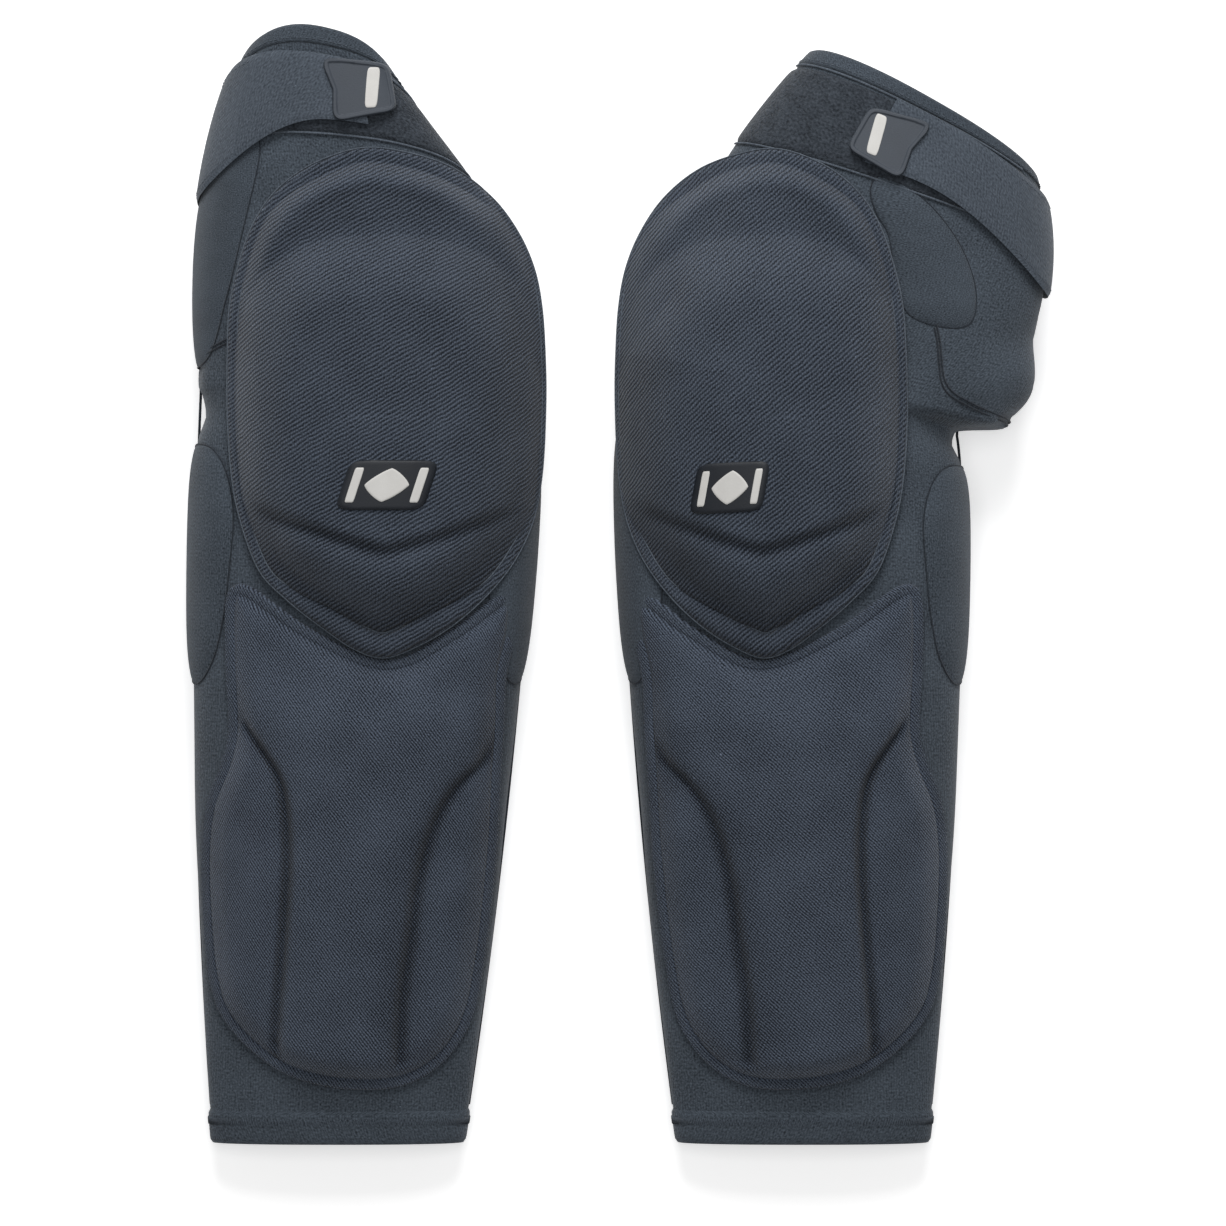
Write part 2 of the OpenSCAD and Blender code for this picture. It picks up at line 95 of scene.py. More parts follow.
class Guard:
    """One guard in its own frame: the cup's centre is the origin and +x is the leg's outer side."""

    def __init__(self, side, mirror, **shape):
        self.side, self.mirror = side, mirror
        self.__dict__.update(shape)

    def named(self, part):
        return f"{self.side}_{part}"

    def station(self, s):
        """Section at share s: 0 at the hem, 1 at the knee, 2 at the cuff."""
        s = np.asarray(s, float)
        f, g = np.clip(s, 0, 1), np.clip(s - 1, 0, 1)
        shin = s < 1
        grow = 1 - (1 - f) ** 1.9
        lean = self.knee_lean * np.where(shin, f**8, 1) + self.cuff_lean * g**3
        lean = np.radians(lean)
        flare = np.where(shin, 0, self.flare / 2 * ease(g / 0.35))
        x = np.where(shin, mix(self.hem_x, self.knee[0], f),
                     mix(self.knee[0], self.cuff[0], g**self.bow) + flare * np.cos(lean))
        y = np.where(shin, mix(-HEM_DROP, self.knee[1], f),
                     mix(self.knee[1], self.cuff[1], g) - flare * np.sin(lean))
        half = np.where(shin, mix(HEM_W / 2, self.knee_half, grow),
                        self.knee_half + flare - self.taper * g**self.taper_power)
        high = np.where(shin, mix(HEM_H, KNEE_H, grow), mix(KNEE_H, self.cuff_h, g))
        arch = np.where(shin, 0, self.arch * g * g)
        lift = np.where(shin, SHIN_LIFT, mix(SHIN_LIFT, CUFF_LIFT, ease(g / 0.3)))
        return x, y, half, high, lean, arch, lift

    def skin(self, s, th, off):
        """Point round a section: angle 0 is the outer edge, 90 the front, 180 the inner edge."""
        x0, y0, half, high, lean, arch, lift = self.station(s)
        a = np.radians(th)
        k = np.where(np.sin(a) < 0, FLOOR_FULLNESS, TOP_FULLNESS)
        x = (half + off) * spow(np.cos(a), k)
        y = arch * np.sin(a)
        z = high / 2 + lift + (high / 2 + off) * spow(np.sin(a), k)
        return np.stack(np.broadcast_arrays(
            x0 + x * np.cos(lean) + y * np.sin(lean),
            y0 - x * np.sin(lean) + y * np.cos(lean), z), -1)

    def locate(self, u, v):
        """Share and angle of the sleeve's front under the plan point (u, v)."""
        u, v = np.broadcast_arrays(np.asarray(u, float), np.asarray(v, float))
        low, high = np.zeros(u.shape), np.full(u.shape, 2.0)
        for _ in range(22):
            s = (low + high) / 2
            x0, y0, half, _, lean, arch, _ = self.station(s)
            x = (u - x0) * np.cos(lean) - (v - y0) * np.sin(lean)
            across = np.clip(x / half, -0.995, 0.995)
            th = np.degrees(np.arccos(spow(across, 1 / TOP_FULLNESS)))
            ahead = (v - y0) * np.cos(lean) + (u - x0) * np.sin(lean) - arch * np.sin(np.radians(th))
            low, high = np.where(ahead > 0, s, low), np.where(ahead > 0, high, s)
        return s, th

    def over(self, u, v, off):
        """Point on a layer over the plan point. A thick layer rises straight up, and near the
        sleeve's edge it spans outwards and hangs down a little, most of all over the thigh."""
        s, th = self.locate(u, v)
        span = mix(0.97, 0.82, ease((v - 5) / 45))
        edge = np.degrees(np.arccos(span ** (1 / TOP_FULLNESS)))
        th = np.clip(th, edge, 180 - edge)
        q, thin = self.skin(s, th, 0), np.clip(off, -3, 3.2)
        p = self.skin(s, th, thin)
        past = np.stack([u - q[..., 0], v - q[..., 1]], -1)
        rise = (off - thin) * np.maximum(spow(np.sin(np.radians(th)), TOP_FULLNESS), 0.6)
        drop = 0.62 * np.linalg.norm(past, axis=-1)
        return p + np.concatenate([past, (rise - drop)[..., None]], -1)

    def cloth(self, plan):
        """Flat cloth coordinates of plan points, spread where the leg rounds away and turned with
        the cut."""
        half, v = self.knee_half, plan[..., 1]
        x = np.clip(0.9 * (plan[..., 0] - self.knee[0]) / half, -0.97, 0.97)
        x = (-1 if self.mirror else 1) * half / 0.9 * np.arcsin(x)
        c, s = math.cos(self.cut), math.sin(self.cut)
        return np.stack([x * c + v * s, v * c - x * s], -1)

    def place(self, q):
        """From the guard's own frame in millimetres to the row frame in metres."""
        q = np.array(q, float)
        q[..., 0] = (-1 if self.mirror else 1) * (q[..., 0] + CUP_SPACING / 2) - PAIR_SHIFT[0]
        q[..., 1] -= PAIR_SHIFT[1]
        return q * MM


# knee and cuff are the middles of those sections in plan, and every lean, turn and cut is an angle.
# bow, flare, taper and arch shape the thigh, and gather is the bag of cloth behind the knee.
# Straps are shares past the knee; side_pad and seam are (share, angle); tab is x, y and turn, and
# badge is x, y, turn and width.
GUARDS = [
    Guard("left", True, knee=(8, 5), knee_half=68, knee_lean=0, cuff=(28, 124), bow=1.9, flare=0,
          taper=35.5, taper_power=2.6, cuff_lean=-14, arch=24, cuff_h=62, hem_x=21.5,
          cup_half=60.5, strap_front=(0.77, 0.93), strap_side=(0.60, 0.94),
          tab=(10.6, 123.4, -4), badge=(-1, -33, 0, 33), lean_of_mark=-0.32, gather=0,
          cut=math.radians(-5.5),
          side_pad=[(1.085, 0), (1.12, 26), (1.30, 40), (1.50, 50), (1.70, 57), (1.745, 46), (1.72, 28),
                    (1.66, 4), (1.60, -28), (1.36, -44), (1.12, -30)],
          seam=[(1.06, -60), (1.09, -20), (1.11, 14), (1.17, 46)]),
    Guard("right", False, knee=(12, 5), knee_half=69, knee_lean=13, cuff=(58, 120), bow=1, flare=17,
          taper=26, taper_power=2.2, cuff_lean=16.5, arch=5, cuff_h=54, hem_x=18,
          cup_half=55.5, strap_front=(0.74, 0.95), strap_side=(0.52, 0.91),
          tab=(50, 103.5, -23), badge=(-12, -34, 3, 27), lean_of_mark=0.22, gather=16,
          cut=math.radians(5.5),
          side_pad_plan=[(58, 35), (72, 30), (82.5, 32), (84.5, 44), (79, 61), (67, 77.5), (49, 89.5),
                         (43, 84), (50, 66), (53, 48)],
          seam=[(1.30, 66), (1.13, 50), (1.08, 34), (1.06, 8), (1.05, -30), (1.05, -60)]),
]


# ---- outlines ----
def smooth_line(points, per_span=14, closed=True):
    """Catmull-Rom line through the points."""
    p = np.array(points, float)
    n = len(p)
    out = []
    for i in range(n if closed else n - 1):
        pick = [(i + k) % n if closed else min(max(i + k, 0), n - 1) for k in (-1, 0, 1, 2)]
        a, b, c, d = p[pick]
        for t in np.arange(per_span) / per_span:
            out.append(0.5 * (2 * b + (c - a) * t + (2 * a - 5 * b + 4 * c - d) * t**2
                              + (3 * b - a - 3 * c + d) * t**3))
    if not closed:
        out.append(p[-1])
    return np.array(out)


def even(line, count, closed=True):
    """The same line with count points, evenly spaced."""
    whole = np.vstack([line, line[:1]]) if closed else line
    run = np.concatenate([[0], np.cumsum(np.linalg.norm(np.diff(whole, axis=0), axis=1))])
    at = np.linspace(0, run[-1], count, endpoint=not closed)
    return np.stack([np.interp(at, run, whole[:, k]) for k in range(whole.shape[1])], -1)


def inset(line, by):
    """The closed line moved inwards by that much at each point; it runs anticlockwise."""
    along = np.roll(line, -1, 0) - np.roll(line, 1, 0)
    along /= np.linalg.norm(along, axis=1)[:, None]
    return line + np.stack([-along[:, 1], along[:, 0]], -1) * np.reshape(by, (-1, 1))


def edge_distance(u, v, line):
    """Distance in plan from each point to the nearest point of the line."""
    gaps = (u[..., None] - line[:, 0]) ** 2 + (v[..., None] - line[:, 1]) ** 2
    return np.sqrt(gaps.min(-1))


# Half widths are shares of the cup's half width; anticlockwise from the top
CUP_EDGE = [
    (0.16, 100), (-0.12, 98.5), (-0.40, 93), (-0.64, 82.5), (-0.81, 69), (-0.92, 54), (-0.97, 38),
    (-0.985, 18), (-0.985, -2), (-0.965, -26), (-0.91, -45), (-0.80, -61), (-0.63, -75), (-0.42, -87),
    (-0.20, -95.5), (0.02, -100.5), (0.21, -97), (0.42, -88), (0.62, -78), (0.80, -66),
    (0.92, -46), (0.975, -28), (1.0, -4), (1.0, 18), (0.985, 38), (0.92, 56), (0.82, 72),
    (0.67, 84.5), (0.45, 94)]
SHIN_EDGE = [
    (0, -101), (-25, -89), (-44, -75), (-50, -79), (-50, -90), (-46, -108), (-45, -128),
    (-43.5, -150), (-42, -175), (-39.5, -200), (-36, -226), (-31, -247), (-20, -263), (-4, -272),
    (18, -273), (39, -268), (54, -258), (66, -244), (71, -228), (73, -205), (73.5, -178),
    (71, -158), (65, -142), (62, -128), (63, -105), (63, -80), (60, -72), (52, -73), (29, -89)]
SHIN_MIDDLE = (13, -178)
OUTER_CREASE = [(56, -124), (49, -135), (42, -147), (39, -161), (38.5, -185), (41, -220), (43, -242),
                (44, -262)]
INNER_CREASE = [(-44, -128), (-36, -141), (-25, -153), (-17, -168), (-11, -190), (-8, -212), (-4.5, -236),
                (-3, -262)]


def cup_line(guard):
    return even(smooth_line([(x * guard.cup_half, y) for x, y in CUP_EDGE]), 340)


def shin_line():
    return even(smooth_line(SHIN_EDGE), 420)


def flange_width(guard, u, v):
    """The cup's sewn flange: wide at brow and chin, and turned under along the inner side."""
    inner = ease((-u / guard.cup_half - 0.5) / 0.35) * ease((v + 60) / 25)
    return 3.8 - 2.4 * inner + 6 * ease((-v - 70) / 22) + 2.4 * ease((v - 72) / 18)


# ---- reliefs: height above the layer's base at plan points ----
def cup_height(guard, u, v):
    """Brow roll, valley, main dome, crease over the shin and chin band."""
    x = u / guard.cup_half
    inside = edge_distance(u, v, cup_line(guard)) - flange_width(guard, u, v)
    steep = 12 + 3 * ease((-x - 0.4) / 0.4) + 12 * ease((-v - 40) / 30)
    wall = 1 - (1 - np.clip(inside / steep, 0, 1)) ** 2.6
    reach = np.where(v > 1, 64, 128)
    room = 1 - (np.abs(x / 0.97) ** 2.7 + np.abs((v - 1) / reach) ** 2.7) ** (1 / 2.7)
    dome = ease(np.clip(room / 0.42, 0, 1) * 0.5 + 0.5) * 2 - 1
    dome *= mix(1, 1 - (1 - np.clip(inside / 27, 0, 1)) ** 2, ease((-v - 30) / 30))
    crown = 4.2 * (1 - np.clip(((v - 30) / 78) ** 2, 0, 1)) * np.clip(1 - x**2, 0, 1)
    brow = 2.6 * hump(inside - 7, 6) * ease((v - 36) / 26)
    valley = 1.6 * hump(v - 69 + 26 * x**2, 7) * ease((v - 36) / 20) * ease((inside - 2) / 9)
    below = -59 + 22 * np.abs(x) ** 1.25 - v
    at_sides = ease((inside - 0.5) / 6) * ease((0.9 - np.abs(x)) / 0.24)
    fold = (2.6 * hump(below + 0.5, 2.6) + 2.4 * ease(below / 5 + 0.4)) * at_sides
    band = 1.5 * hump(below - 8, 6) * at_sides
    chin = 1.4 * hump(below - 22, 5) * at_sides
    patch = 0.35 * ease((13 - np.abs(u - 4 * x)) / 1.2) * ease((-6 - v) / 1.5) * ease((v + 24) / 10)
    return 1 + 7.2 * wall + 13 * dome + crown + brow - valley - fold + band - chin + patch


def cup_crease_shade(guard, u, v):
    """How much painted shade darkens the cloth in the crease over the shin and in a band inside the edge along
    the chin, from 0 to 1.
    """
    x = u / guard.cup_half
    below = -59 + 22 * np.abs(x) ** 1.25 - v
    inside = edge_distance(u, v, cup_line(guard)) - flange_width(guard, u, v)
    chin = hump(inside - 1, 7) * ease((-48 - v) / 16)
    return np.clip(0.7 * hump(below, 2.8) * ease((0.9 - np.abs(x)) / 0.24) + 0.5 * chin, 0, 1)


def crease_at(points, v):
    """How far across a crease lies at each v."""
    line = smooth_line(points, closed=False)
    order = np.argsort(line[:, 1])
    return np.interp(v, line[order, 1], line[order, 0])


def shin_creases(u, v):
    """Distances outwards from the two creases, and how fully they are formed."""
    return (u - crease_at(OUTER_CREASE, v), crease_at(INNER_CREASE, v) - u,
            ease((-118 - v) / 14) * ease((v + 268) / 8))


def shin_height(u, v):
    """Pad with a raised middle panel between two sunk creases, under a funnel shaped top."""
    inside = edge_distance(u, v, shin_line()) - SHIN_BORDER
    plateau = 8.2 * (1 - (1 - np.clip(inside / 9, 0, 1)) ** 2.3) * (1 - 0.6 * ease((v + 130) / 34))
    outer, inner, reach = shin_creases(u, v)
    groove = (4.6 * hump(outer, 2.0) + 3.8 * hump(inner, 2.6) + 1.8 * hump(inner - 3, 8)
              + 1.2 * hump(outer - 2, 7)) * reach
    wings = 1.0 * (ease(outer / 6) + ease(inner / 6)) * reach
    funnel = 1.0 * hump(u - 8, 30) * ease((v + 158) / 30) * ease((-108 - v) / 20)
    return 0.8 + np.maximum(plateau - (groove + wings - funnel) * ease(inside / 5), 0)


def shin_crease_shade(u, v):
    """How much painted shade darkens the cloth in the shin's two creases, from 0 to 1."""
    outer, inner, reach = shin_creases(u, v)
    crease_shade = 0.75 * hump(outer, 2.2) + 0.75 * hump(inner, 2.6) + 0.3 * hump(inner + 4, 8)
    return np.clip(crease_shade * reach, 0, 1)


# ---- meshes ----
def make_piece(guard, name, verts, faces, loops, material):
    """A finished piece from points and cloth coordinates in millimetres, its faces turned outward."""
    name = guard.named(name)
    mesh = bpy.data.meshes.new(name)
    mesh.from_pydata(guard.place(verts).tolist(), [], faces)
    mesh.uv_layers.new(name="cloth").data.foreach_set("uv", (loops * MM).astype(np.float32).ravel())
    co = np.array([v.co for v in mesh.vertices])
    mesh.calc_loop_triangles()
    tri = np.array([t.vertices for t in mesh.loop_triangles])
    a, b, c = co[tri[:, 0]], co[tri[:, 1]], co[tri[:, 2]]
    if np.einsum("ij,ij->i", a, np.cross(b, c)).sum() < 0:
        mesh.flip_normals()
    mesh.polygons.foreach_set("use_smooth", [True] * len(mesh.polygons))
    mesh.set_sharp_from_angle(angle=SHARP_FOLD)
    mesh.materials.append(material)
    piece = bpy.data.objects.new(name, mesh)
    bpy.context.scene.collection.objects.link(piece)
    return piece


def shell(guard, name, outer, inner, uv, material, wrap=False, pole=False):
    """Closed piece between two grids of points. wrap joins the last column to the first,
    and pole closes the first row to one point."""
    rows, cols = outer.shape[:2]
    base = rows * cols
    verts = np.vstack([outer.reshape(-1, 3), inner.reshape(-1, 3)])
    flat = uv.reshape(-1, 2)
    uv_cols = uv.shape[1]

    def vertex(i, j, layer):
        return layer * base + i * cols + j % cols

    def coord(i, j):
        return i * uv_cols + (j if uv_cols > cols else j % cols)

    steps_j = np.arange(cols if wrap else cols - 1)
    i, j = (a.ravel() for a in np.meshgrid(np.arange(rows - 1), steps_j, indexing="ij"))
    around = [(i, j), (i + 1, j), (i + 1, j + 1), (i, j + 1)]
    groups = [[(vertex(a, b, 0), coord(a, b)) for a, b in around],
              [(vertex(a, b, 1), coord(a, b)) for a, b in around[::-1]]]

    def rim(row, turn):
        row = np.full(len(steps_j), row)
        corners = [(row, steps_j, 0), (row, steps_j + 1, 0), (row, steps_j + 1, 1), (row, steps_j, 1)]
        groups.append([(vertex(a, b, c), coord(a, b)) for a, b, c in corners[::turn]])

    if not pole:
        rim(0, 1)
    rim(rows - 1, -1)
    if not wrap:
        for col, turn in ((0, -1), (cols - 1, 1)):
            a = np.arange(rows - 1)
            b = np.full(rows - 1, col)
            corners = [(a, b, 0), (a + 1, b, 0), (a + 1, b, 1), (a, b, 1)]
            groups.append([(vertex(*q), coord(q[0], q[1])) for q in corners[::turn]])
    faces = [list(map(int, f)) for g in groups for f in np.stack([v for v, _ in g], -1)]
    loops = [flat[np.stack([c for _, c in g], -1)].reshape(-1, 2) for g in groups]
    if pole:
        middles = np.stack([outer[0].mean(0), inner[0].mean(0)])
        verts = np.vstack([verts, middles])
        flat = np.vstack([flat, uv[0].mean(0)])
        zero = np.zeros(len(steps_j), int)
        for layer, (b, c) in enumerate(((steps_j, steps_j + 1), (steps_j + 1, steps_j))):
            mid = np.full(len(steps_j), 2 * base + layer)
            tri = np.stack([mid, vertex(zero, b, layer), vertex(zero, c, layer)], -1)
            faces += [list(map(int, f)) for f in tri]
            loops.append(flat[np.stack([np.full(len(steps_j), len(flat) - 1), coord(zero, b),
                                        coord(zero, c)], -1)].reshape(-1, 2))
    return make_piece(guard, name, verts, faces, np.vstack(loops), material)


def dished(guard, name, line, middle, low, high, material, rings=56, crease_shade=None):
    """Layer over a closed plan line; low and high are functions of the plan points."""
    r = 1 - (1 - np.linspace(0.02, 1, rings)) ** 1.15
    plan = np.asarray(middle) + r[:, None, None] * (line - np.asarray(middle))[None]
    u, v = plan[..., 0], plan[..., 1]
    outer, inner = guard.over(u, v, high(u, v)), guard.over(u, v, low(u, v))
    piece = shell(guard, name, outer, inner, guard.cloth(plan), material, wrap=True, pole=True)
    # The optional last argument stores, per point, how much painted shade darkens the cloth.
    if crease_shade:
        value = np.tile(crease_shade(u, v).ravel(), 2)
        value = np.concatenate([value, [0.0, 0.0]]).astype(np.float32)
        piece.data.attributes.new("crease_shade", "FLOAT", "POINT").data.foreach_set("value", value)
    return piece


def framed(guard, name, line, widths, low, high, material, rows=9):
    """Flat border along a closed plan line; high is a function of the share across and of v."""
    lines = np.stack([inset(line, np.asarray(widths) * t) for t in np.linspace(0, 1, rows)])
    u, v = lines[..., 0], lines[..., 1]
    outer = guard.over(u, v, high(np.linspace(0, 1, rows)[:, None], v))
    return shell(guard, name, outer, guard.over(u, v, low), guard.cloth(lines), material, wrap=True)


def strip(guard, name, shares, angles, low, high, material):
    """Layer over a patch of the sleeve; shares, angles and heights spread into one grid."""
    outer = guard.skin(shares, angles, high)
    inner = guard.skin(shares, angles, low)
    across = np.linalg.norm(np.diff(outer, axis=1), axis=2).cumsum(1)
    along = np.linalg.norm(np.diff(outer, axis=0), axis=2).cumsum(0)
    uv = np.zeros(outer.shape[:2] + (2,))
    uv[:, 1:, 0] = across
    uv[1:, :, 1] = along
    return shell(guard, name, outer, inner, uv, material)


# ---- finishes ----
class Wire:
    """A shader socket that plain arithmetic works on."""

    def __init__(self, tree, socket):
        self.tree, self.socket = tree, socket

    def math(self, kind, *others, clamp=False):
        node = self.tree.nodes.new("ShaderNodeMath")
        node.operation = kind
        node.use_clamp = clamp
        for slot, value in zip(node.inputs, (self, *others)):
            if isinstance(value, Wire):
                self.tree.links.new(value.socket, slot)
            else:
                slot.default_value = value
        return Wire(self.tree, node.outputs[0])

    def __add__(self, other):
        return self.math("ADD", other)

    def __sub__(self, other):
        return self.math("SUBTRACT", other)

    def __rsub__(self, other):
        return self.math("MULTIPLY_ADD", -1.0, other)

    def __mul__(self, other):
        return self.math("MULTIPLY", other)

    __radd__ = __add__
    __rmul__ = __mul__

    def wave(self):
        """A sine of one turn per unit, from 0 to 1."""
        return (self * math.tau).math("SINE") * 0.5 + 0.5

    def held(self):
        return self.math("ADD", 0.0, clamp=True)


class Finish:
    """A material with one Principled shader. fixed sets the shader's own sockets."""

    def __init__(self, name, fixed):
        self.material = bpy.data.materials.new(name)
        self.material.use_nodes = True
        self.tree = self.material.node_tree
        self.shader = self.tree.nodes["Principled BSDF"]
        for socket, value in fixed.items():
            self.shader.inputs[socket].default_value = value

    def node(self, kind, settings, sockets, out=0):
        """A node of that kind with its settings and sockets, and the wire from its output."""
        node = self.tree.nodes.new(kind)
        for key, value in settings.items():
            setattr(node, key, value)
        for key, value in sockets.items():
            if isinstance(value, Wire):
                self.tree.links.new(value.socket, node.inputs[key])
            else:
                node.inputs[key].default_value = value
        return Wire(self.tree, node.outputs[out])

    def cloth(self):
        """The piece's cloth coordinates, in metres: both together, then x and y."""
        uv = self.node("ShaderNodeUVMap", {"uv_map": "cloth"}, {})
        return uv, *[self.node("ShaderNodeSeparateXYZ", {}, {0: uv}, out=k) for k in (0, 1)]

    def noise(self, vector, size, detail=2.0):
        """Noise from 0 to 1 with lumps of that size in metres."""
        return self.node("ShaderNodeTexNoise", {}, {"Vector": vector, "Scale": 1 / size, "Detail": detail})

    def lint(self, vector):
        """Small pale specks of lint, a few on each piece."""
        cell, pick = [self.node("ShaderNodeTexVoronoi", {}, {"Vector": vector, "Scale": 1 / 0.013}, out=k)
                      for k in (0, 1)]
        value = self.node("ShaderNodeSeparateColor", {}, {0: pick})
        return cell.math("LESS_THAN", 0.028) * value.math("GREATER_THAN", 0.7)

    def blend(self, dark, light, share):
        """A colour between two, from dark at share 0 to light at 1."""
        return self.node("ShaderNodeMix", {"data_type": "RGBA"},
                         {0: share, 6: (*dark, 1), 7: (*light, 1)}, out=2)

    def finish(self, colour, height=None, depth=0.0, rough=None):
        """Joins colour, relief (depth in metres) and roughness to the shader."""
        self.tree.links.new(colour.socket, self.shader.inputs["Base Color"])
        if rough is not None:
            self.tree.links.new(rough.socket, self.shader.inputs["Roughness"])
        if height is not None:
            bump = self.node("ShaderNodeBump", {}, {"Height": height, "Distance": depth, "Strength": 1.0})
            self.tree.links.new(bump.socket, self.shader.inputs["Normal"])
        return self.material


def shade(r, g, b):
    """A display colour, 0 to 255, as the shader takes it."""
    return tuple((c / 255 / 12.92) if c < 11 else ((c / 255 + 0.055) / 1.055) ** 2.4 for c in (r, g, b))


CLOTH = {"Roughness": 0.92, "Specular IOR Level": 0.22, "Sheen Weight": 0.12, "Sheen Roughness": 0.5}


def woven(name, dark, light, ribs, beads, depth):
    """Ribs of beaded yarn, with uneven yarn tone, wear, lint and painted shade in the creases. ribs and beads
    are each the direction, in degrees, and the pitch, in metres, of the wave across them."""
    m = Finish(name, CLOTH)
    uv, x, y = m.cloth()
    sway = (m.noise(uv, 0.007) - 0.5) * 1.1
    yarn = m.noise(uv, 0.0007)
    wear = m.noise(uv, 0.022, 4.0)

    def wave(way, pitch):
        a = math.radians(way)
        return (x * (math.cos(a) / pitch) + y * (math.sin(a) / pitch) + sway).wave()

    height = wave(*ribs) * (wave(*beads) * 0.5 + 0.5)
    # Painted shade: the stored attribute darkens the cloth in the creases and along the cup's chin.
    crease_shade = m.node("ShaderNodeAttribute", {"attribute_name": "crease_shade"}, {}, out=2)
    tone = (height * 0.72 + (yarn - 0.5) * 1.1 + (wear - 0.5) * 0.3 + 0.1 - crease_shade * 0.3).held()
    colour = m.blend(dark, light, tone + m.lint(uv) * 2.2)
    return m.finish(colour, height + yarn * 0.5, depth, rough=0.98 - height * 0.12)


def knitted(name, dark, light, stitch, depth, fuzz=0.9):
    """Smooth knit face with a heather of two yarns and a faint wale."""
    m = Finish(name, CLOTH)
    uv, x, y = m.cloth()
    sway = (m.noise(uv, 0.004) - 0.5) * 1.6
    wale = (x * (1 / stitch) + sway).wave() * ((y * (0.8 / stitch) + sway).wave() * 0.5 + 0.5)
    yarn = m.noise(uv, 0.0009)
    wear = m.noise(uv, 0.03, 4.0)
    tone = (wale * 0.16 + (yarn - 0.5) * fuzz * 1.5 + (wear - 0.5) * 0.4 + 0.42).held()
    colour = m.blend(dark, light, tone + m.lint(uv) * 1.8)
    return m.finish(colour, wale * 0.5 + yarn, depth, rough=0.99 - yarn * 0.1)


def looped(name, dark, light):
    """Brushed loop pile: dense fuzz with no weave showing."""
    m = Finish(name, CLOTH)
    uv = m.cloth()[0]
    pile = m.noise(uv, 0.0012, 5.0)
    clumps = m.noise(uv, 0.006, 3.0)
    tone = ((pile - 0.5) * 1.6 + clumps * 0.6 + 0.1).held()
    return m.finish(m.blend(dark, light, tone), pile + clumps * 0.6, 0.0009)


def meshed(name, dark, light):
    """Open spacer mesh with round holes."""
    m = Finish(name, CLOTH)
    uv = m.cloth()[0]
    hole = m.node("ShaderNodeTexVoronoi", {}, {"Vector": uv, "Scale": 1 / 0.0026, "Randomness": 0.12})
    web = hole.math("SUBTRACT", 0.18, clamp=True) * 2.2
    return m.finish(m.blend(dark, light, web.held()), web, 0.0006)


def moulded(name, dark, light, roughness, grain):
    """Rubber or plastic with a fine moulded grain and rubbed patches."""
    m = Finish(name, {"Roughness": roughness, "Specular IOR Level": 0.4})
    spot = m.node("ShaderNodeTexCoord", {}, {}, out=3)
    fine = m.noise(spot, 0.0005)
    rubbed = m.noise(spot, 0.008, 4.0)
    colour = m.blend(dark, light, (rubbed * 0.7 + fine * 0.3).held())
    return m.finish(colour, fine, grain, rough=rubbed * 0.2 + (roughness - 0.1))


FINISH = {
    "sleeve": knitted("heather_knit_sleeve", shade(12, 17, 23), shade(92, 102, 113), 0.0011, 0.00022),
    "cup": woven("coarse_cup_weave", shade(17, 22, 30), shade(97, 107, 122), (-54, 0.00146),
                 (0, 0.00092), 0.0004),
    "shin": woven("fine_shin_weave", shade(12, 17, 25), shade(104, 115, 132), (41.5, 0.00101),
                  (-30, 0.00122), 0.00025),
    "strap": knitted("elastic_strap_knit", shade(34, 40, 48), shade(98, 107, 118), 0.0014, 0.00025, 0.8),
    "loop": looped("brushed_loop_pile", shade(24, 29, 35), shade(76, 83, 92)),
    "hook": looped("hook_tape", shade(16, 18, 21), shade(44, 48, 54)),
    "mesh": meshed("spacer_mesh", shade(12, 14, 17), shade(58, 64, 72)),
    "rubber": moulded("tab_rubber", shade(54, 60, 68), shade(74, 80, 89), 0.62, 0.00008),
    "plate": moulded("badge_rubber", shade(18, 22, 28), shade(32, 37, 45), 0.55, 0.00006),
    "inlay": moulded("pale_inlay", shade(196, 194, 190), shade(222, 221, 218), 0.5, 0.00003),
    "foam": moulded("closed_cell_foam", shade(60, 64, 70), shade(84, 88, 94), 0.85, 0.0003),
    "board": moulded("cup_board", shade(20, 21, 24), shade(32, 34, 38), 0.5, 0.0001),
    "gripper": moulded("gripper_silicone", shade(20, 21, 23), shade(38, 40, 43), 0.45, 0.00005),
    "thread": knitted("sewing_thread", shade(48, 55, 64), shade(104, 113, 124), 0.0008, 0.0001),
    "dark_thread": knitted("dark_sewing_thread", shade(18, 22, 28), shade(54, 61, 70), 0.0008, 0.0001),
}


# ---- stitching, made by geometry nodes ----
def new_tree(name, inputs):
    """An empty tree with a path going in and sewing coming out, and its two end nodes."""
    tree = bpy.data.node_groups.new(name, "GeometryNodeTree")
    tree.interface.new_socket(name="Path", in_out="INPUT", socket_type="NodeSocketGeometry")
    for label, kind in inputs:
        tree.interface.new_socket(name=label, in_out="INPUT", socket_type=kind)
    tree.interface.new_socket(name="Sewn", in_out="OUTPUT", socket_type="NodeSocketGeometry")
    return tree, tree.nodes.new("NodeGroupInput"), tree.nodes.new("NodeGroupOutput")


def joined(tree, *links):
    for source, target in links:
        tree.links.new(source, target)


def finish_tree(tree, made, given, output):
    """Makes the sewing real, gives it its thread and leads it out."""
    realize = tree.nodes.new("GeometryNodeRealizeInstances")
    paint = tree.nodes.new("GeometryNodeSetMaterial")
    joined(tree, (made, realize.inputs[0]), (realize.outputs[0], paint.inputs["Geometry"]),
           (given.outputs["Thread"], paint.inputs["Material"]), (paint.outputs[0], output.inputs[0]))


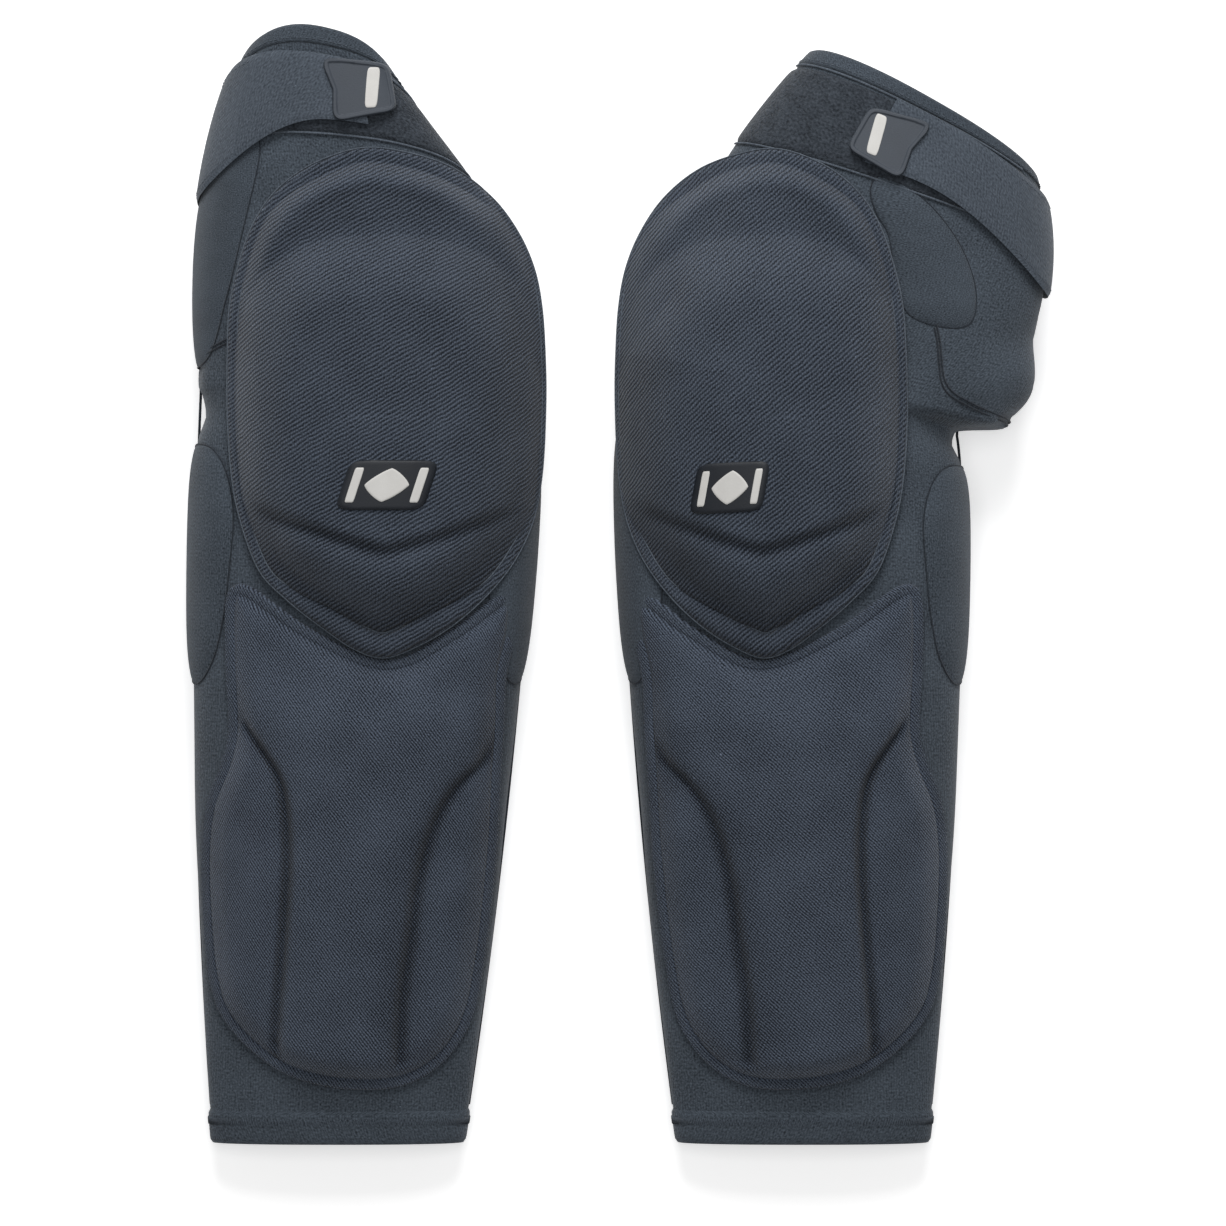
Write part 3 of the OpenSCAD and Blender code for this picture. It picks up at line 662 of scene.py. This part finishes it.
def stitch_tree():
    """Separate stitches laid end to end along a path."""
    tree, given, output = new_tree("row_of_stitches", [
        ("Spacing", "NodeSocketFloat"), ("Length", "NodeSocketFloat"), ("Radius", "NodeSocketFloat"),
        ("Thread", "NodeSocketMaterial")])
    curve = tree.nodes.new("GeometryNodeMeshToCurve")
    spaced = tree.nodes.new("GeometryNodeResampleCurve")
    spaced.mode = "LENGTH"
    tangent = tree.nodes.new("GeometryNodeInputTangent")
    turn = tree.nodes.new("FunctionNodeAlignRotationToVector")
    turn.axis = "Z"
    ball = tree.nodes.new("GeometryNodeMeshUVSphere")
    ball.inputs["Segments"].default_value = 6
    ball.inputs["Rings"].default_value = 5
    ball.inputs["Radius"].default_value = 1
    size = tree.nodes.new("ShaderNodeCombineXYZ")
    half = tree.nodes.new("ShaderNodeMath")
    half.operation = "MULTIPLY"
    half.inputs[1].default_value = 0.5
    shape = tree.nodes.new("GeometryNodeTransform")
    put = tree.nodes.new("GeometryNodeInstanceOnPoints")
    joined(tree, (given.outputs["Path"], curve.inputs[0]), (curve.outputs[0], spaced.inputs["Curve"]),
           (given.outputs["Spacing"], spaced.inputs["Length"]),
           (tangent.outputs[0], turn.inputs["Vector"]),
           (given.outputs["Radius"], size.inputs[0]), (given.outputs["Radius"], size.inputs[1]),
           (given.outputs["Length"], half.inputs[0]), (half.outputs[0], size.inputs[2]),
           (ball.outputs["Mesh"], shape.inputs["Geometry"]), (size.outputs[0], shape.inputs["Scale"]),
           (spaced.outputs[0], put.inputs["Points"]), (shape.outputs[0], put.inputs["Instance"]),
           (turn.outputs[0], put.inputs["Rotation"]))
    finish_tree(tree, put.outputs[0], given, output)
    return tree


def thread_tree():
    """One round thread along a path."""
    tree, given, output = new_tree("running_thread", [
        ("Radius", "NodeSocketFloat"), ("Thread", "NodeSocketMaterial")])
    curve = tree.nodes.new("GeometryNodeMeshToCurve")
    ring = tree.nodes.new("GeometryNodeCurvePrimitiveCircle")
    ring.inputs["Resolution"].default_value = 6
    sweep = tree.nodes.new("GeometryNodeCurveToMesh")
    sweep.inputs["Fill Caps"].default_value = True
    joined(tree, (given.outputs["Path"], curve.inputs[0]), (curve.outputs[0], sweep.inputs["Curve"]),
           (given.outputs["Radius"], ring.inputs["Radius"]),
           (ring.outputs[0], sweep.inputs["Profile Curve"]))
    finish_tree(tree, sweep.outputs[0], given, output)
    return tree


STITCHES = stitch_tree()
THREAD = thread_tree()


def sewn(guard, name, paths, tree, values, thread="thread"):
    """Runs a stitching tree along paths of points in millimetres, and gives a plain mesh."""
    name = guard.named(name)
    verts, edges = [], []
    for points, closed in paths:
        first = len(verts)
        verts += guard.place(points).tolist()
        count = len(points)
        edges += [(first + i, first + (i + 1) % count) for i in range(count if closed else count - 1)]
    mesh = bpy.data.meshes.new(name + "_path")
    mesh.from_pydata(verts, edges, [])
    source = bpy.data.objects.new(name + "_path", mesh)
    bpy.context.scene.collection.objects.link(source)
    modifier = source.modifiers.new("sewing", "NODES")
    modifier.node_group = tree
    given = dict(values, Thread=FINISH[thread])
    for item in tree.interface.items_tree:
        if item.in_out == "INPUT" and item.name in given:
            modifier[item.identifier] = given[item.name]
    bpy.context.view_layer.update()
    made = bpy.data.meshes.new_from_object(source.evaluated_get(bpy.context.evaluated_depsgraph_get()))
    bpy.data.objects.remove(source)
    made.name = name
    if not made.uv_layers:
        made.uv_layers.new(name="cloth")
    made.uv_layers[0].name = "cloth"
    corners = np.array([made.vertices[l.vertex_index].co[:2] for l in made.loops], np.float32)
    made.uv_layers[0].data.foreach_set("uv", corners.ravel())
    made.polygons.foreach_set("use_smooth", [True] * len(made.polygons))
    piece = bpy.data.objects.new(name, made)
    bpy.context.scene.collection.objects.link(piece)
    return piece


def stitches(guard, name, paths, spacing, length, radius):
    """Rows of separate stitches."""
    values = {"Spacing": spacing * MM, "Length": length * MM, "Radius": radius * MM}
    return sewn(guard, name, paths, STITCHES, values)


def threads(guard, name, paths, radius=0.3, thread="thread"):
    """Unbroken lines of thread, piping or printed silicone."""
    return sewn(guard, name, paths, THREAD, {"Radius": radius * MM}, thread)


def zigzag(line, width, pitch):
    """A closed plan line turned into a zigzag of that width."""
    length = np.linalg.norm(np.diff(line, axis=0), axis=1).sum()
    count = int(length / pitch) * 2
    return inset(even(line, count), np.where(np.arange(count) % 2, 0.5, -0.5) * width)


# ---- where the pieces go ----
def fit(guard, piece, slot, *nodes, on="knee", fill=None):
    """Gives the piece the nodes that it stands for, hiding them; slot and fill are not used.
    A piece on the knee is baked where it stands, and any other rides the body that on names."""
    if nodes:
        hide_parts(*[guard.named(node) for node in nodes])
    if on != "knee":
        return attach(piece, guard.named(on))
    lean = math.radians(guard.knee_lean)
    middle = np.array([guard.knee[0], guard.knee[1], HINGE_Z], float)
    reach = np.array([math.sin(lean), math.cos(lean), 0]) * BEND_REACH
    start, end = guard.place(middle - reach), guard.place(middle + reach)
    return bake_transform(piece, guard.named("shin"), guard.named("thigh"), start=tuple(start), end=tuple(end))


# ---- the sleeve ----
ROUND = (np.arange(120) * 3.0 - 90)[None]  # angles once round a section, from the middle of the back
FRONT = 60  # the place in ROUND of the middle of the front


def girth(rings):
    """Distance run round each closed ring of points, from its first point back to it."""
    closed = np.concatenate([rings, rings[:, :1]], 1)
    run = np.linalg.norm(np.diff(closed, axis=1), axis=2).cumsum(1)
    return np.concatenate([np.zeros((len(rings), 1)), run], 1)


def puckered(shares):
    """How far along the knee's gather the cloth bags out over its gusset."""
    return ease((shares - 1.0) / 0.055) * (1 - ease((shares - 1.12) / 0.25))


def sleeve(guard):
    """The knitted tube from hem to cuff, gathered behind the knee."""
    shares = np.concatenate([np.linspace(0.004, 0.98, 84), np.linspace(0.985, 1.3, 46),
                             np.linspace(1.31, 1.996, 46)])[:, None]
    shares, angles = np.broadcast_arrays(shares, ROUND)
    near_side = hump(angles, 42) + hump(angles - 360, 42)
    gather = guard.gather * puckered(shares) * near_side
    pinch = 3.2 * hump(shares - 0.975, 0.028) * near_side
    ripple = 1.6 * np.sin(angles / 4.6 + 3 * shares) * hump(shares - 1.05, 0.05) * near_side
    soft = 0.35 * np.sin(shares * 17 + angles / 19) * np.sin(angles / 31 + shares * 5)
    soft = soft * (np.abs(angles - 90) < 178)
    creases = -0.9 * hump(np.sin(shares * 26 + angles / 60), 0.22) * hump(shares - 1, 0.16) * (
        hump(angles + 20, 40) + hump(angles - 205, 36))
    off = gather - pinch + (ripple if guard.gather else 0.4 * ripple) + soft + creases
    off = off * ease(shares / 0.1) * ease((1.99 - shares) / 0.1)
    underneath = hump(angles + 90, 40) + hump(angles - 270, 40)
    off = np.minimum(off, mix(off, 0, np.clip(underneath * 2, 0, 1)))
    outer = guard.skin(shares, angles, off)
    around = girth(outer)
    along = np.concatenate([[0], np.linalg.norm(np.diff(outer[:, FRONT], axis=0), axis=1).cumsum()])
    uv = np.stack(np.broadcast_arrays(around - around[:, FRONT:FRONT + 1], along[:, None]), -1)
    piece = shell(guard, "sleeve", outer, guard.skin(shares, angles, off - WALL), uv, FINISH["sleeve"],
                  wrap=True)
    fit(guard, piece, "sleeve", "shin_front_panel", "shin_back_panel", "thigh_front_panel",
        "thigh_back_panel")


def edge_band(guard, name, s0, s1, high, on):
    """A folded band round an open end of the sleeve, rounded over its two edges."""
    t = np.linspace(0, 1, 11)[:, None]
    rounded = np.clip(1 - np.abs(2 * t - 1) ** 6, 0, 1) ** 0.5
    outer = guard.skin(mix(s0, s1, t), ROUND, 0.1 + (high - 0.1) * rounded)
    inner = guard.skin(mix(s0, s1, t), ROUND, -WALL - 0.3 * rounded)
    uv = np.stack(np.broadcast_arrays(girth(outer), t * BAND_W), -1)
    fit(guard, shell(guard, name, outer, inner, uv, FINISH["sleeve"], wrap=True), "sleeve", name, on=on)


def gripper(guard, name, s0, s1, on):
    """Wavy silicone lines printed inside an open end."""
    angles = np.arange(0, 360, 3.0)
    wave = (s1 - s0) * 0.09 * np.sin(np.radians(angles * 10))
    paths = [(guard.skin(mix(s0, s1, (k + 0.5) / 3) + wave, angles, -WALL - 0.55), True) for k in range(3)]
    fit(guard, threads(guard, name, paths, radius=0.42, thread="gripper"), "gripper", name, on=on)


def sleeve_seams(guard):
    """Flat seams down both sides, and the seam over the knee's side gusset."""
    shares = np.linspace(0.05, 1.95, 150)
    paths = [(guard.skin(shares, angle, 0.15), False) for angle in (-6, 187)]
    fit(guard, threads(guard, "side_seams", paths, 0.55, "dark_thread"), "sleeve")
    line = smooth_line(guard.seam, closed=False)
    paths = []
    for shift in (0, 0.012):
        s, th = line[:, 0] + shift, line[:, 1]
        paths.append((guard.skin(s, th, 0.4 + guard.gather * puckered(s) * hump(th, 42)), False))
    fit(guard, threads(guard, "gusset_seam", paths, 0.4, "dark_thread"), "sleeve")


def back_mesh(guard):
    """Ventilated panel behind the knee."""
    t = np.linspace(-1, 1, 40)[:, None]
    a = np.linspace(0, 1, 64)[None]
    reach = 0.16 * np.sqrt(np.clip(1 - (2 * a - 1) ** 4, 0.02, 1))
    fade = np.clip(1 - np.abs(t) ** 8, 0, 1) * np.clip(1 - np.abs(2 * a - 1) ** 10, 0, 1)
    piece = strip(guard, "back_mesh", 1.0 + t * reach, mix(202, 338, a), -0.6, -0.1 + 0.6 * fade,
                  FINISH["mesh"])
    fit(guard, piece, "mesh", "back_mesh")


# ---- padded parts ----
def plump(piece, held, cap):
    """Settles a pad as cloth under a little air pressure, held at its seam and moved no more than cap."""
    scene = bpy.context.scene
    work = bpy.data.objects.new("plump", piece.data.copy())
    scene.collection.objects.link(work)
    work.vertex_groups.new(name="seam").add(held, 1, "REPLACE")
    cloth = work.modifiers.new("cloth", "CLOTH")
    for setting, value in {"quality": 4, "mass": 0.15, "use_pressure": True,
                           "uniform_pressure_force": 4, "vertex_group_mass": "seam"}.items():
        setattr(cloth.settings, setting, value)
    cloth.settings.effector_weights.gravity = 0
    cloth.point_cache.frame_start, cloth.point_cache.frame_end = 1, SETTLE_STEPS
    for step in range(1, SETTLE_STEPS + 1):
        scene.frame_set(step)
    settled = work.evaluated_get(bpy.context.evaluated_depsgraph_get()).data
    before = np.array([v.co for v in piece.data.vertices])
    move = np.array([v.co for v in settled.vertices]) - before
    size = np.linalg.norm(move, axis=1, keepdims=True)
    move *= np.minimum(1, cap * MM / np.maximum(size, 1e-9))
    piece.data.vertices.foreach_set("co", (before + move).astype(np.float32).ravel())
    bpy.data.objects.remove(work)
    scene.frame_set(1)


def puff(guard, name, line, low, rise, fill, rings=26, count=150):
    """Quilted pad over a closed line of (share, angle): full in the middle, drawn down at its seam."""
    line = even(smooth_line(line) * SKIN_SCALE, count) / SKIN_SCALE
    middle = line.mean(0)
    r = np.linspace(0.03, 1, rings)[:, None]
    grid = middle + r[..., None] * (line - middle)[None]
    s, th = grid[..., 0], grid[..., 1]
    crown = low + 0.25 + rise * np.clip(1 - r**4.5, 0, 1) ** 0.75
    uv = np.stack([np.radians(th) * guard.knee_half, s * SKIN_SCALE[0]], -1)
    piece = shell(guard, name, guard.skin(s, th, crown), guard.skin(s, th, low), uv, FINISH["sleeve"],
                  wrap=True, pole=True)
    face = (rings - 2) * count
    plump(piece, [i for i in range(len(piece.data.vertices)) if i >= face and i != 2 * rings * count], 0.8)
    fit(guard, piece, "sleeve", name, fill=fill)
    seam = [(guard.skin(line[:, 0], line[:, 1], low + 0.3), True)]
    fit(guard, threads(guard, name + "_seam", seam, 0.3, "dark_thread"), "sleeve")


OUTER_BOLSTER = [(0.925, 30), (0.932, 14), (0.926, -2), (0.905, -18), (0.86, -27), (0.76, -31),
                 (0.675, -26), (0.63, -8), (0.615, 18), (0.645, 33), (0.70, 40), (0.77, 43.5),
                 (0.84, 45), (0.895, 40)]


def bolsters(guard):
    """Teardrop pads on both flanks of the knee."""
    puff(guard, "outer_bolster", OUTER_BOLSTER, 0.2, 2.6, fill=0.7)
    puff(guard, "inner_bolster", [(s, 180 - a) for s, a in OUTER_BOLSTER][::-1], 0.2, 2.6, fill=0.7)


def side_pad(guard):
    """Quilted thigh pad beside the cup."""
    if hasattr(guard, "side_pad_plan"):
        plan = np.array(guard.side_pad_plan, float)
        line = np.stack(guard.locate(plan[:, 0], plan[:, 1]), -1)
    else:
        line = guard.side_pad
    puff(guard, "side_pad", line, 0.1, 1.8, fill=0.4)


def shin_pad(guard):
    """Moulded shin pad: foam, cover with its sunk creases, sewn border and overlock."""
    line = shin_line()

    def top(u, v):
        return SEW_GAP + shin_height(u, v)

    def piped(t, v):
        return SEW_GAP + BORDER_RISE * np.clip(1 - np.abs(2 * t - 1) ** 4, 0, 1) ** 0.6

    # The cover's creases get painted shade in its colour.
    cover = dished(guard, "shin_cover", inset(line, 3.4), SHIN_MIDDLE, lambda u, v: top(u, v) - COVER_T,
                   top, FINISH["shin"], rings=96, crease_shade=shin_crease_shade)
    fit(guard, cover, "shin_twill", "shin_cover", on="shin", fill=0.8)
    foam = dished(guard, "shin_foam", inset(line, 6), SHIN_MIDDLE, lambda u, v: SEW_GAP - 0.9,
                  lambda u, v: top(u, v) - 1.15, FINISH["foam"], rings=30)
    fit(guard, foam, "foam", "shin_foam", on="shin", fill=0.8)
    border = framed(guard, "shin_border", line, SHIN_BORDER, SEW_GAP - 1.0, piped, FINISH["shin"])
    fit(guard, border, "shin_twill", "shin_border", on="shin")
    saw = zigzag(inset(line, 1.8), 2.4, 2.0)
    over = [(guard.over(saw[:, 0], saw[:, 1], SEW_GAP + BORDER_RISE), True)]
    fit(guard, threads(guard, "shin_overlock", over, radius=0.2), "shin_twill", on="shin")


def cup_top(guard, u, v):
    """Height of the cup's cover above the sleeve."""
    return CUP_GAP + cup_height(guard, u, v)


def cup(guard):
    """Moulded knee cup: foam, stiff board, woven cover and a sewn flange."""
    line = cup_line(guard)
    wide = flange_width(guard, line[:, 0], line[:, 1])

    def top(u, v):
        return cup_top(guard, u, v)

    # Painted shade in the cover's colour, along its crease and its chin.
    def crease_shade(u, v):
        return cup_crease_shade(guard, u, v)

    def rolled(t, v):
        chin = 2.6 * ease((-v - 74) / 16) * np.sin(np.pi * np.clip(t, 0, 1)) ** 0.8
        return CUP_GAP + FLANGE_RISE * np.clip(1 - np.abs(2 * t - 1) ** 5, 0, 1) ** 0.6 + chin

    cover = dished(guard, "cup_cover", inset(line, wide - 0.7), (0, 0), lambda u, v: top(u, v) - COVER_T,
                   top, FINISH["cup"], rings=104, crease_shade=crease_shade)
    fit(guard, cover, "cup_twill", "cup_cover", fill=0.85)
    board = dished(guard, "cup_shell", inset(line, wide + 1), (0, 0), lambda u, v: top(u, v) - 3.0,
                   lambda u, v: top(u, v) - 1.1, FINISH["board"], rings=30)
    fit(guard, board, "shell", "cup_shell")
    foam = dished(guard, "cup_foam", inset(line, wide + 1.5), (0, 0), lambda u, v: CUP_GAP - 1.6,
                  lambda u, v: np.maximum(top(u, v) - 3.1, CUP_GAP - 1.2), FINISH["foam"], rings=30)
    fit(guard, foam, "foam", "cup_foam", fill=0.85)
    flange = framed(guard, "cup_flange", line, wide + 0.6, CUP_GAP - 1.8, rolled, FINISH["cup"])
    fit(guard, flange, "cup_twill", "cup_flange")
    row = inset(line, np.minimum(1.7, wide * 0.45))
    lift = CUP_GAP + FLANGE_RISE + 1.0 * ease((-row[:, 1] - 78) / 14)
    sewing = [(guard.over(row[:, 0], row[:, 1], lift), True)]
    fit(guard, stitches(guard, "cup_stitching", sewing, 2.1, 1.6, 0.13), "cup_twill")
    bound = [(guard.over(*inset(line, by).T, CUP_GAP + up), True)
             for by, up in ((0.1, 1.0), (wide + 0.1, 1.75))]
    fit(guard, threads(guard, "cup_binding", bound), "cup_twill")


# ---- plates and tabs ----
def rounded_box(w, h, r, skew=0.0, narrow=1.0):
    """Outline of a box with round corners, anticlockwise; skew leans it and narrow tapers its +x end."""
    a = np.linspace(0, math.tau, 72, endpoint=False)
    x = spow(np.cos(a), r) * w / 2
    y = spow(np.sin(a), r) * h / 2 * mix(1, narrow, x / w + 0.5)
    return np.stack([x + y * skew, y], -1)


def turned(line, at, turn):
    """The line turned by that many degrees about its own origin and set down at a plan point."""
    c, s = math.cos(math.radians(turn)), math.sin(math.radians(turn))
    return np.stack([at[0] + line[:, 0] * c - line[:, 1] * s, at[1] + line[:, 0] * s + line[:, 1] * c], -1)


def flat_plate(guard, name, line, low, thick, material, bed, edge):
    """A small plate over a plan line, with its edge rounded down, on the surface that bed gives."""
    def high(u, v):
        d = edge_distance(u, v, line)
        return bed(u, v) + low + thick * (1 - 0.45 * (1 - np.clip(d / edge, 0, 1)) ** 2)

    return dished(guard, name, line, tuple(line.mean(0)), lambda u, v: bed(u, v) + low, high, material,
                  rings=14)


def badge(guard):
    """Dark rubber plate with a plain pale lozenge between two bars."""
    x, y, turn, width = guard.badge
    skew, w = guard.lean_of_mark, width / 33

    def bed(u, v):
        return cup_top(guard, u, v)

    line = turned(rounded_box(width, 19.5, 0.3, skew=skew), (x, y), turn)
    plate = flat_plate(guard, "badge_plate", line, -0.3, 1.5, FINISH["plate"], bed, edge=1.2)
    fit(guard, plate, "moulded_rubber", "badge_plate")
    bar = rounded_box(3.4 * w, 13.5, 0.24, skew=skew)
    lozenge = rounded_box(16.5 * w, 13, 1.6, skew=skew)
    for k, (shape, shift) in enumerate(((lozenge, 0), (bar, -12 * w), (bar, 12 * w))):
        line = turned(shape + [shift, 0], (x, y), turn)
        inlay = flat_plate(guard, f"badge_inlay_{k}", line, 1.1, 0.5, FINISH["inlay"], bed, edge=0.5)
        fit(guard, inlay, "pale_inlay", *(["badge_inlay"] if k == 0 else []))


# ---- strap ----
STRAP_HINGE, STRAP_END, STRAP_ANCHOR = 46, 100, -150
BACK_EDGE = (0.62, 0.90)
STRAP_RISE = 2.8


def strap_grid(guard, angles, shares):
    """Share and angle of points across and along the strap, and the strap's rise off the sleeve."""
    th, w = np.meshgrid(angles, shares)
    to_side, under = ease((90 - th) / 80), ease(-th / 60)
    front, side = guard.strap_front, guard.strap_side
    edges = [mix(mix(front[k], side[k], to_side), BACK_EDGE[k], under) for k in (0, 1)]
    return 1 + mix(edges[0], edges[1], w), th, mix(0.4, STRAP_RISE, ease((th + 20) / 50))


def strap_piece(guard, name, a0, a1, count, low, high, finish, shares=(0, 1), rounded=True):
    """A stretch of strap between two angles, its long edges rounded, or a patch laid under it."""
    across = np.linspace(*shares, 24)
    s, th, rise = strap_grid(guard, np.linspace(a0, a1, count), across)
    w = (across[:, None] - shares[0]) / (shares[1] - shares[0])
    roll = np.clip(1 - np.abs(2 * w - 1) ** 14, 0, 1) ** 0.5 if rounded else 1
    middle = (low + high) / 2
    return strip(guard, name, s, th, rise + middle - (middle - low) * roll,
                 rise + middle + (high - middle) * roll, FINISH[finish])


def strap(guard):
    """Elastic strap from its anchor behind the thigh, over the front, with the hooks under its end."""
    anchor = strap_piece(guard, "strap", STRAP_ANCHOR, STRAP_HINGE, 120, 0, STRAP_T, "strap")
    fit(guard, anchor, "strap", "strap_anchor", on="thigh")
    free = strap_piece(guard, "strap_end", STRAP_HINGE, STRAP_END, 44, 0, STRAP_T, "strap")
    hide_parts(guard.named("strap_end"))
    s, th, rise = strap_grid(guard, np.array([STRAP_HINGE, STRAP_HINGE + 9.0]), np.array([0.5]))
    start, end = guard.place(guard.skin(s, th, rise))[0]
    guard.named("thigh")
    guard.named("strap_end")
    tuple(start)
    tuple(end)
    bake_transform(free)
    hooks = strap_piece(guard, "hook_patch", STRAP_HINGE + 22, STRAP_END - 3, 30, -1, -0.1, "hook",
                        (0.1, 0.9), rounded=False)
    fit(guard, hooks, "hook", "hook_patch", on="strap_end")
    s, th, rise = strap_grid(guard, np.linspace(STRAP_ANCHOR + 1.5, STRAP_ANCHOR + 6, 7),
                             np.linspace(0.04, 0.96, 30))
    tack = [(guard.skin(s[:, k], th[:, k], rise[:, k] + STRAP_T), False) for k in range(7)]
    fit(guard, threads(guard, "strap_bartack", tack, 0.35), "strap", "strap_bartack", on="thigh")
    s, th, rise = strap_grid(guard, np.linspace(STRAP_ANCHOR + 4, STRAP_HINGE - 1, 140),
                             np.array([0.07, 0.93]))
    rows = [(guard.skin(s[k], th[k], rise[k] + STRAP_T + 0.02), False) for k in (0, 1)]
    fit(guard, stitches(guard, "strap_stitching", rows, 2.4, 1.7, 0.18), "strap", on="thigh")


def pull_tab(guard):
    """Moulded rubber tab with a raised rim, notched where it grips the strap, and a pale bar."""
    u, v, turn = guard.tab
    line = (rounded_box(24, 26, 0.3, narrow=0.74, skew=-0.12) * (-1, 1))[::-1]
    line[:, 0] -= 2.0 * hump(line[:, 1] / 9.5, 1) ** 2 * (line[:, 0] > 9)
    line = turned(line, (u, v), turn)

    def bed(uu, vv):
        return STRAP_RISE + STRAP_T

    def top(uu, vv):
        d = edge_distance(uu, vv, line)
        rim = ease(d / 0.5) - 0.55 * ease((d - 1.5) / 0.5)
        return STRAP_RISE + STRAP_T + 0.7 + 1.2 * rim

    tab = dished(guard, "strap_tab", line, (u, v), lambda uu, vv: bed(uu, vv) + 0.05, top,
                 FINISH["rubber"], rings=40)
    fit(guard, tab, "moulded_rubber", "strap_tab", on="strap_end")
    bar = turned(rounded_box(4.6, 16, 0.35, skew=-0.12) + [-4.5, 0], (u, v), turn)
    bar = flat_plate(guard, "tab_inlay", bar, 1.15, 0.45, FINISH["inlay"], bed, edge=0.3)
    fit(guard, bar, "pale_inlay", "tab_inlay", on="strap_end")


def loop_field(guard):
    """Brushed pile on the cuff's front that the hooks grip, with its sewn edges."""
    low, high = guard.strap_front
    t = np.linspace(0, 1, 30)[:, None]
    fade = np.clip(1 - np.abs(2 * t - 1) ** 12, 0, 1) ** 0.6
    piece = strip(guard, "loop_field", mix(1 + low - 0.03, 1 + high - 0.01, t),
                  np.linspace(40, 174, 100)[None], 0.05, 0.25 + 1.0 * fade, FINISH["loop"])
    fit(guard, piece, "loop_pile", "loop_field", on="thigh")
    around = np.linspace(40, 174, 120)
    rows = [(guard.skin(1 + edge, around, 0.75), False) for edge in (low - 0.036, high)]
    fit(guard, threads(guard, "loop_edges", rows, 0.45), "loop_pile", on="thigh")


def hem_sewing(guard):
    """Zigzag over the hem band's edge and a row of stitches under the cuff's rim."""
    around = np.arange(0, 360, 0.75)
    wave = np.where(np.arange(len(around)) % 2, 0.5, -0.5)
    saw = guard.skin(0.030 + 0.0085 * wave, around, 1.1)
    fit(guard, threads(guard, "hem_zigzag", [(saw, True)], 0.26), "sleeve", on="shin")
    rim = guard.skin(1.966, np.arange(0, 360, 2.0), 1.0)
    fit(guard, stitches(guard, "cuff_stitching", [(rim, True)], 2.6, 1.9, 0.2), "sleeve", on="thigh")


def build(guard):
    """All the pieces of one guard."""
    sleeve(guard)
    edge_band(guard, "hem_band", 0, 0.045, 1.0, on="shin")
    edge_band(guard, "cuff_band", 1.955, 2, 0.9, on="thigh")
    gripper(guard, "hem_gripper", 0.008, 0.039, on="shin")
    gripper(guard, "cuff_gripper", 1.961, 1.993, on="thigh")
    sleeve_seams(guard)
    back_mesh(guard)
    bolsters(guard)
    side_pad(guard)
    shin_pad(guard)
    cup(guard)
    badge(guard)
    loop_field(guard)
    strap(guard)
    pull_tab(guard)
    hem_sewing(guard)


# ---- studio ----
def studio():
    """White floor, broad soft light from above, and a long lens looking straight down."""
    scene = bpy.context.scene
    scene.view_settings.view_transform = "Standard"
    bpy.ops.mesh.primitive_plane_add(size=6, location=(0, 0, -0.0008))
    floor = bpy.context.object
    floor.name = "floor"
    paper = Finish("white_paper", {"Roughness": 0.9, "Specular IOR Level": 0.1,
                                   "Emission Color": (1, 1, 1, 1), "Emission Strength": 0.5})
    spot = paper.node("ShaderNodeTexCoord", {}, {}, out=3)
    floor.data.materials.append(paper.finish(
        paper.blend((0.93, 0.93, 0.93), (0.97, 0.97, 0.97), paper.noise(spot, 0.3))))
    world = bpy.data.worlds.new("studio")
    world.use_nodes = True
    world.node_tree.nodes["Background"].inputs["Color"].default_value = (1, 1, 1, 1)
    world.node_tree.nodes["Background"].inputs["Strength"].default_value = 0.2
    scene.world = world
    for name, place, power in (("key", (0.0, 1.35, 1.25), 23), ("fill", (0.0, 0.1, 1.9), 9.5)):
        light = bpy.data.lights.new(name, "AREA")
        light.size, light.energy = 0.8, power
        lamp = bpy.data.objects.new(name, light)
        lamp.location = place
        x, y, z = -np.array(place)
        tilt = math.acos(-z / np.linalg.norm(place))
        lamp.rotation_euler = (tilt, 0, math.atan2(y, x) - math.pi / 2)
        scene.collection.objects.link(lamp)
    view = bpy.data.cameras.new("camera")
    frame_width, height, middle = 0.4904, 2.0, (-0.0034, -0.0092)
    view.lens = view.sensor_width * (height - 0.03) / frame_width
    view.clip_end = 20
    camera = bpy.data.objects.new("camera", view)
    camera.location = (*middle, height)
    scene.collection.objects.link(camera)
    scene.camera = camera


for one in GUARDS:
    build(one)
studio()
bpy.context.view_layer.update()
